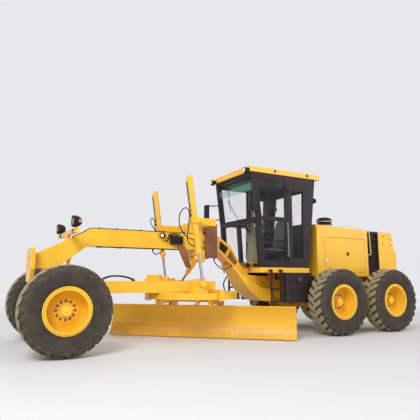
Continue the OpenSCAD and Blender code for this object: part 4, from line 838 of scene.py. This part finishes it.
def seat_pad(name, low, high, channels, lean=0.0, pivot=(0, 0, 0), crown=0.035):
    """A crowned cushion with sewn channels across it and piping round its seam.
    Its long faces lie across Z before it leans back about a pivot."""
    middle = (Vector(low) + Vector(high)) / 2
    half = (Vector(high) - Vector(low)) / 2
    points = []
    for j in range(PAD_ROWS):
        v = -math.pi / 2 + math.pi * j / (PAD_ROWS - 1)
        for c, s in around(PAD_STEPS):
            x = half.x * swell(c, 0.32) * swell(math.cos(v), 0.34)
            y = half.y * swell(s, 0.32) * swell(math.cos(v), 0.34)
            z = (half.z - crown) * swell(math.sin(v), 0.55)
            if v > 0:
                z += crown * (1 - (x / half.x) ** 2) * (1 - (y / half.y) ** 2)
                for channel in channels:
                    dip = CHANNEL_DEEP * math.exp(-((x - channel) / CHANNEL_HALF) ** 2)
                    z -= dip * min(1.0, 2.2 * math.cos(v))
            points.append((x, y, z))
    turns = [2 * math.pi * i / SEAM_STEPS for i in range(SEAM_STEPS + 1)]
    seam = [(half.x * 1.004 * swell(math.cos(u), 0.32), half.y * 1.004 * swell(math.sin(u), 0.32), 0.0)
            for u in turns]
    at = (Matrix.Translation(pivot) @ Matrix.Rotation(lean, 4, "Y")
          @ Matrix.Translation(-Vector(pivot)) @ Matrix.Translation(middle))
    shape = Shape().add((points, strips(PAD_ROWS, PAD_STEPS, wrap=True)), at)
    shape.add(tube(seam, 0.005, 8), at, 1)
    made = piece(name, shape, [FABRIC, HOSE], "rear", sharp=60.0)
    return made


def driver_seat():
    """The sprung seat on its bellows, with cushions and arm rests; measures are from the floor."""
    x, z = SEAT_X, CAB_FLOOR
    base = Shape()
    base.add(block((x - 0.2, -0.19, z), (x + 0.2, 0.19, z + 0.03), 0.006))
    bellows = [(0.0, 0.0)]
    for k in range(7):
        bellows += [(0.165, 0.03 + k * 0.032), (0.185, 0.046 + k * 0.032)]
    bellows += [(0.165, 0.262), (0.0, 0.262)]
    base.add(lathe(bellows, 40), (x, 0, z), 1)
    base.add(block((x - 0.23, -0.215, z + 0.262), (x + 0.23, 0.215, z + 0.305), 0.01))
    base.add(block((x - 0.285, -0.2, z + 0.29), (x - 0.245, 0.2, z + 0.56), 0.012))
    for s in (1, -1):
        arm = [(x - 0.24, 0.235, z + 0.42), (x - 0.24, 0.275, z + 0.5), (x - 0.23, 0.285, z + 0.56)]
        lever = [(x + 0.19, 0.213, z + 0.285), (x + 0.05, 0.225, z + 0.285)]
        base.add(tube(eased(mirrored(arm, s)), 0.014))
        base.add(tube(mirrored(lever, s), 0.012))
    pads = [piece("seat_base", base, [BLACK, HOSE], "rear")]
    pads += [seat_pad("seat_cushion", (x - 0.255, -0.245, z + 0.3), (x + 0.255, 0.245, z + 0.44),
                      (-0.12, 0.0, 0.12)),
             seat_pad("seat_back", (x - 0.29, -0.235, z + 0.435), (x + 0.35, 0.235, z + 0.565),
                      (-0.2, -0.07, 0.06, 0.19), lean=math.radians(-99.0), pivot=(x - 0.235, 0, z + 0.5))]
    pads += [seat_pad("seat_arm_" + side, (x - 0.25, 0.29 * s - 0.032, z + 0.555),
                      (x + 0.12, 0.29 * s + 0.032, z + 0.62), (), crown=0.012)
             for s, side in ((1, "left"), (-1, "right"))]
    for pad in pads:
        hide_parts("seat")


def cab_inside():
    """Levers on the console, pedals, the floor mat, and the linings of roof and posts."""
    shape = Shape()
    for s in (1, -1):
        for k in range(4):
            place = on_top("console", -0.42 + 0.028 * k, 0.182 * s, start=2.19)
            top = place + Vector((-0.012, 0.06 * s, 0.1))
            shape.add(tube([place - Vector((0, 0, 0.004)), top], 0.0055, 10), finish=1)
            knob = lathe([(0, -0.004), (0.012, 0.0), (0.016, 0.016), (0.013, 0.03), (0, 0.034)], 16)
            shape.add(knob, aimed(top, (-0.1, 0.5 * s, 0.85)))
        shape.add(block((-0.14, 0.17 * s - 0.05, CAB_FLOOR + 0.002),
                        (-0.1, 0.17 * s + 0.05, CAB_FLOOR + 0.1), 0.006))
    shape.add(block((-1.05, -0.4, CAB_FLOOR), (-0.3, 0.4, CAB_FLOOR + 0.012)))
    piece("cab_controls", shape, [HOSE, FITTING], "rear")

    trim = Shape()
    roof_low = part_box("cab_roof")[0].z
    trim.add(block((-1.34, -0.6, roof_low - 0.085), (0.02, 0.6, roof_low - 0.062), 0.008), finish=1)
    for s in (1, -1):
        post = touch("cab_frame", (-0.81, 0.0, 2.0), (0, s, 0))[0].y
        for x0, x1 in ((-0.845, -0.815), (-0.805, -0.775)):
            trim.add(block((x0, min(post, post - 0.016 * s), 1.5),
                           (x1, max(post, post - 0.016 * s), 2.95)))
        front = touch("cab_frame", (-0.3, 0.705 * s, 2.36), (1, 0, 0))[0].x
        trim.add(block((front - 0.014, 0.69 * s - 0.018, 2.3), (front + 0.002, 0.69 * s + 0.018, 2.4)))
    piece("cab_trim", trim, [PLASTIC, BLACK], "rear")


WIPER_Y, WIPER_LOW, WIPER_HIGH = -0.26, 2.58, 3.06
ROOF_MARKS_X, ROOF_MARKS_Z = (-0.426, -1.29), 3.345


def wiper(shape):
    """Wiper on the transom, its blade close to the windscreen."""
    off_glass = Vector((0.008, 0, 0))
    foot, out = touch("cab_frame", (0.6, 0.1, 2.335), (-1, 0, 0))
    shape.add(button(0.024, 0.022, 0.015, 0.03, sink=0.004), aimed(foot, out))
    tip = Vector((0.108, WIPER_Y, 2.82))
    shape.add(tube([foot + out * 0.024, foot + out * 0.03 + Vector((0, 0, 0.03)), tip], 0.006, 10))
    low, high = (touch("cab_glass", (0.6, WIPER_Y, z), (-1, 0, 0))[0] + off_glass
                 for z in (WIPER_LOW, WIPER_HIGH))
    shape.add(tube([low, high], 0.0055, 8))
    shape.add(tube([tip, (low + high) / 2], 0.006, 8))


def cab_outside():
    shape = Shape()
    wiper(shape)
    for s in (1, -1):
        # Mirror glass on the rear of each head
        face, _ = touch("fittings", (-0.3, 0.935 * s, 2.635), (1, 0, 0))
        outline = [(0.155 * swell(c, 0.35), 0.066 * swell(d, 0.45)) for c, d in around(40)]
        shape.add(plate(outline, 0.004, 0.001),
                  aimed(face + Vector((0.001, 0, 0)), (-1, 0, 0), math.pi / 2), 1)
        # Marks on the roof's edge in the shaded yellow, a painted shade; a knob on the rear post and a
        # latch beside the rear window
        for x in ROOF_MARKS_X:
            side = on_side("cab_roof", x, ROOF_MARKS_Z, s)
            shape.add(button(0.036, 0.006, 0.024, 0.012), aimed(side, (0, s, 0)), 3)
        rear, _ = touch("cab_frame", (-2.2, 0.7 * s, 2.82), (1, 0, 0))
        knob = lathe([(0, -0.003), (0.02, -0.003), (0.024, 0.02), (0.055, 0.03),
                      (0.06, 0.055), (0.05, 0.08), (0, 0.088)], 28)
        shape.add(knob, aimed(rear, (-1, 0, 0)))
        latch = aimed(on_side("cab_frame", -1.287, 2.372, s), (0, s, 0))
        shape.add(block((-0.035, -0.006, -0.006), (0.035, 0.006, 0.012), 0.002), latch, 2)
        shape.add(block((-0.006, -0.03, -0.002), (0.006, 0.012, 0.01), 0.002), latch, 2)
    piece("cab_fittings", shape, [HOSE, MIRROR, FITTING, SHADED_YELLOW], "rear")


def door_handles(s, side):
    """A grab rail and a latch on a cab door's rear stile."""
    shape = Shape()
    stile = "cab_door_" + side
    top = on_side(stile, -0.715, 2.27, s)
    low = on_side(stile, -0.715, 1.6, s)
    out = Vector((0, 0.042 * s, 0))
    near, turn = Vector((0, 0, 0.004)), Vector((0, 0, 0.04))
    rail = [low, low + out * 0.7 + near, low + out + turn, top + out - turn, top + out * 0.7 - near, top]
    shape.add(tube(eased(rail, 6), 0.011), finish=1)
    latch = aimed(on_side(stile, -0.55, 2.35, s), (0, s, 0))
    shape.add(block((-0.055, -0.022, -0.002), (0.055, 0.022, 0.01)), latch)
    shape.add(block((-0.045, -0.008, 0.008), (0.02, 0.008, 0.026)), latch, 2)
    piece("door_handles_" + side, shape, [HOSE, PLASTIC, FITTING], stile)


STEP_Y, STEPS_Z = 0.785, (0.7, 0.95)
# The bowed rail, on the far ladder only
LADDER_RAIL = [(-0.245, 0.815, 1.215), (-0.175, 0.815, 1.15), (-0.105, 0.815, 1.02),
               (-0.13, 0.815, 0.88), (-0.19, 0.815, 0.76), (-0.245, 0.815, 0.7)]


def cab_steps():
    shape = Shape()
    for s in (1, -1):
        if s < 0:
            shape.add(tube(eased(mirrored(LADDER_RAIL, s)), 0.014))
        for z in STEPS_Z:
            for k in range(9):
                x = -0.475 + 0.025 * k
                shape.add(block((x - 0.004, STEP_Y * s - 0.036, z - 0.001),
                                (x + 0.004, STEP_Y * s + 0.036, z + 0.006), 0.001))
    piece("step_treads", shape, [BLACK], "rear")


TANK_Y, TANK_OUT, TANK_LOW = 0.73, 0.84, 0.652
STRAPS_X, STRAP_HALF, STRAP_THICK = (-1.12, -0.73), 0.022, 0.008


def tank_details():
    """Two straps under and up the outer side of each tank, and its cap."""
    shape = Shape()
    for s in (1, -1):
        inner, outer = sorted(((TANK_OUT - 0.001) * s, (TANK_OUT + 0.007) * s))
        for x in STRAPS_X:
            x0, x1 = x - STRAP_HALF, x + STRAP_HALF
            shape.add(block((x0, TANK_Y * s - 0.1135, TANK_LOW),
                            (x1, TANK_Y * s + 0.1135, TANK_LOW + STRAP_THICK), 0.002))
            shape.add(block((x0, inner, TANK_LOW), (x1, outer, 1.24), 0.002))
            bolt(shape, (x, (TANK_OUT + 0.007) * s, 0.98), (0, s, 0), 0.01, 0.01, 1)
        shape.add(button(0.05, 0.02, 0.044, 0.028, sink=0.004),
                  aimed((-0.93, TANK_OUT * s, 1.12), (0, s, 0)), 1)
    piece("tank_straps", shape, [BLACK, FITTING], "rear")


# Hood and tail

RAIL_Y, RAIL_RADIUS = 0.45, 0.01
# Rail along the hood's top: x, which of the feet gives the hood's height, and the height over it
RAIL_FEET_X = (-2.55, -3.1, -3.24)
TOP_RAIL = [(-2.55, 0, -0.004), (-2.56, 0, 0.055), (-2.62, 0, 0.068), (-3.02, 1, 0.068),
            (-3.18, 2, 0.045), (-3.23, 2, 0.02), (-3.24, 2, -0.004)]
POST_RAIL_Y = 0.578
# Bolts by node, on top at (x, y) and on both sides at (x, z)
TOP_BOLTS = {"radiator": ((-3.4, 0.4), (-3.52, 0.4), (-3.6, 0.4), (-3.4, -0.4), (-3.6, -0.4)),
             "tail_box": ((-3.8, 0.38), (-3.98, 0.38), (-3.8, -0.38), (-3.98, -0.38))}
TAIL_BOLTS = ((-3.81, 2.15), (-4.07, 2.1), (-3.81, 1.98), (-4.09, 1.96), (-3.81, 1.36), (-4.18, 1.36))
AIR_CAP_X, AIR_CAP_Z = -2.45, 2.376


def hood_rails(shape, s):
    """The grab rail along the hood's top, and the bent rail down the radiator's front post."""
    tops = [on_top("hood", x, RAIL_Y * s).z for x in RAIL_FEET_X]
    path = [(x, RAIL_Y * s, tops[foot] + over) for x, foot, over in TOP_RAIL]
    shape.add(tube(eased(path, 6), RAIL_RADIUS), finish=3)
    post = on_side("radiator", -3.293, 2.14, s).y
    y = POST_RAIL_Y * s
    path = [(-3.295, post, 2.235), (-3.31, y, 2.235), (-3.325, y, 2.19), (-3.345, y, 1.8),
            (-3.35, y, 1.74), (-3.33, y, 1.7), (-3.296, y * 0.995, 1.7), (-3.293, post - 0.004 * s, 1.7)]
    shape.add(tube(eased(path, 6), RAIL_RADIUS), finish=3)


def air_cap(shape):
    """The intake's domed cap with its light band, on the CAD cap, which has a band of its own."""
    x = (AIR_CAP_X, 0, 0)
    shape.add(band(0.188, 0.1935, AIR_CAP_Z + 0.002, AIR_CAP_Z + 0.024, 64), x, 3)
    foot = on_top("hood", AIR_CAP_X, 0.0).z - 0.004
    shape.add(lathe([(0, foot), (0.15, foot), (0.15, 2.47), (0.186, 2.476), (0.186, 2.5),
                     (0.178, 2.54), (0.15, 2.575), (0.095, 2.594), (0, 2.6)], 64), x, 2)
    shape.add(band(0.184, 0.189, 2.48, 2.496, 64), x, 3)


def hood_details():
    shape = Shape()
    for s in (1, -1):
        hood_rails(shape, s)
    for name, places in TOP_BOLTS.items():
        for x, y in places:
            bolt(shape, on_top(name, x, y), (0, 0, 1), 0.014, 0.016, 1)
    for s in (1, -1):
        for x, z in TAIL_BOLTS:
            bolt(shape, on_side("tail_box", x, z, s), (0, s, 0), 0.012, 0.01, 1)
        for x in (-3.905, -3.935):
            line = [on_side("tail_box", x, z, s) for z in (1.4, 1.96)]
            shape.add(tube(line, 0.004, 8))
    air_cap(shape)
    shape.add(button(0.055, 0.022, 0.048, 0.03, sink=0.01), on_top("hood", -2.05, -0.28), 1)
    piece("hood_details", shape, [YELLOW, FITTING, BLACK, RAIL], "rear")


def hood_door_details(s, side):
    """Latch, lower bolts and reflector of a hood door."""
    door = "hood_door_" + side
    shape = Shape()
    latch = aimed(on_side(door, -2.618, 1.703, s), (0, s, 0))
    shape.add(block((-0.038, -0.038, -0.002), (0.038, 0.038, 0.004), 0.003), latch)
    shape.add(block((-0.026, -0.007, 0.002), (0.026, 0.007, 0.016), 0.003), latch, 1)
    for x, z in ((-2.05, 1.38), (-3.05, 1.38)):
        shape.add(button(0.014, 0.003, 0.01, 0.006, sides=20),
                  aimed(on_side(door, x, z, s), (0, s, 0)), 1)
    shape.add(button(0.03, 0.003, 0.025, 0.005, sides=32),
              aimed(on_side(door, -1.965, 1.55, s), (0, s, 0)), 2)
    piece("hood_door_fittings_" + side, shape, [BLACK, FITTING, WHITE_LENS], door)


BUMPER_BOLTS_Y, BUMPER_Z = (-0.5, -0.3, 0.3, 0.5), 1.03
TANDEM_AXLES_X, AXLE_Z, AXLE_BOLT_CIRCLE = (-1.75, -3.29), 0.675, 0.175


def chassis_details():
    """Bolts and towing ring of the rear bumper, and bolts and caps of the tandem cases."""
    shape = Shape()
    for y in BUMPER_BOLTS_Y:
        place, _ = touch("rear_frame", (-4.8, y, BUMPER_Z), (1, 0, 0))
        bolt(shape, place, (-1, 0, 0), 0.018, 0.016)
    place, _ = touch("rear_frame", (-4.8, 0.0, BUMPER_Z), (1, 0, 0))
    shape.add(ring(0.045, 0.011, 32), aimed(place + Vector((-0.03, 0, -0.01)), (0, 1, 0)))
    for s in (1, -1):
        for x in TANDEM_AXLES_X:
            for c, d in around(10):
                at = on_side("tandem_cases", x + AXLE_BOLT_CIRCLE * c,
                             AXLE_Z + AXLE_BOLT_CIRCLE * d, s, start=1.0)
                bolt(shape, at, (0, s, 0), 0.01, 0.01)
        cap = on_side("tandem_cases", -2.52, 0.8, s, start=1.4)
        shape.add(button(0.05, 0.006, 0.02, 0.01, sink=0.003), aimed(cap, (0, s, 0)))
    piece("chassis_bolts", shape, [FITTING], "rear")


# Camera, at the photograph's place and angle

CAM_PLACE = (4.96, 7.85, 1.18)
CAM_YAW, CAM_PITCH, CAM_ROLL = (math.radians(angle) for angle in (-28.5, 8.7, 0.2))
FOCAL_PIXELS, PHOTO_PIXELS, SENSOR = 433.6, 420, 36.0


def place_camera():
    level = math.cos(CAM_PITCH)
    forward = Vector((math.sin(CAM_YAW) * level, -math.cos(CAM_YAW) * level, math.sin(CAM_PITCH)))
    right = forward.cross(Vector((0, 0, 1))).normalized()
    up = right.cross(forward)
    tilted = right * math.cos(CAM_ROLL) + up * math.sin(CAM_ROLL)
    upright = up * math.cos(CAM_ROLL) - right * math.sin(CAM_ROLL)
    data = bpy.data.cameras.new("camera")
    data.sensor_width = SENSOR
    data.lens = FOCAL_PIXELS / PHOTO_PIXELS * SENSOR
    cam = linked("camera", data)
    turn = Matrix((tilted, upright, -forward)).transposed().to_4x4()
    cam.matrix_world = Matrix.Translation(CAM_PLACE) @ turn
    SCENE.camera = cam


# World, lamps and floor

WORLD_LIGHT = 0.52
# Name, place, aim, size in metres and power in watts
STUDIO_LAMPS = (("key", (9.0, 9.0, 9.0), (0.0, 0.0, 1.0), 5.0, 1230),
                ("fill", (-8.0, 7.0, 6.0), (-1.0, 0.0, 1.2), 7.0, 345),
                ("back", (0.0, -10.0, 8.0), (0.0, 0.0, 1.5), 8.0, 400))
FLOOR_HALF = 60.0
FLOOR_FADE = (6.0, 13.0)   # where the floor begins and ends to turn into the background's colour


def area_lamp(name, place, aim, size, power):
    data = bpy.data.lights.new(name, "AREA")
    data.size = size
    data.energy = power
    lamp = linked(name, data)
    lamp.location = place
    lamp.rotation_euler = (Vector(aim) - Vector(place)).to_track_quat("-Z", "Y").to_euler()


def pale_to_rays(nt, lit, pale):
    """A lit surface or background, with a pale one for camera, glossy and transmission rays."""
    path = node(nt, "LightPath")
    seen = calc(nt, "MAXIMUM", path.outputs["Is Camera Ray"],
                calc(nt, "MAXIMUM", path.outputs["Is Glossy Ray"], path.outputs["Is Transmission Ray"]))
    return node(nt, "MixShader", {0: seen, 1: lit, 2: pale}).outputs[0]


def studio():
    world = bpy.data.worlds.new("studio")
    world.use_nodes = True
    nt = world.node_tree
    nt.nodes.clear()
    lit = node(nt, "Background", {"Color": (1, 1, 1, 1), "Strength": WORLD_LIGHT})
    pale = node(nt, "Background", {"Color": BACKDROP, "Strength": 1.0})
    out = node(nt, "OutputWorld")
    nt.links.new(pale_to_rays(nt, lit.outputs[0], pale.outputs[0]), out.inputs["Surface"])
    SCENE.world = world
    for lamp in STUDIO_LAMPS:
        area_lamp(*lamp)


def floor():
    """Keeps the shadows near the machine and fades to the background's colour with distance."""
    mat, nt, surf = tree("floor")
    wire(nt, surf, {"Base Color": rgb(222, 222, 224), "Roughness": 0.95})
    lit = surf.outputs["BSDF"]
    away = node(nt, "VectorMath", {0: own_place(nt)}, operation="LENGTH").outputs["Value"]
    far = node(nt, "Emission", {"Color": BACKDROP, "Strength": 1.0})
    pale = node(nt, "MixShader", {0: steps(nt, away, *FLOOR_FADE), 1: lit, 2: far.outputs[0]})
    out = nt.get_output_node("ALL")
    nt.links.new(pale_to_rays(nt, lit, pale.outputs[0]), out.inputs["Surface"])
    mesh = bpy.data.meshes.new("floor")
    corners = [(x * FLOOR_HALF, y * FLOOR_HALF, 0) for x, y in ((-1, -1), (1, -1), (1, 1), (-1, 1))]
    mesh.from_pydata(corners, [], [(0, 1, 2, 3)])
    mesh.materials.append(mat)
    linked("floor", mesh)


finish_nodes()
wheels()
beam_details()
both(lift_hoses)
both(lift_pipe)
bay_shade_panels()
frame_hoses()
lamps()
circle_teeth()
blade_bolts()
blade_ends()
driver_seat()
cab_inside()
cab_outside()
both(door_handles)
cab_steps()
tank_details()
hood_details()
both(hood_door_details)
chassis_details()
place_camera()
studio()
floor()

SCENE.view_settings.view_transform = "Standard"
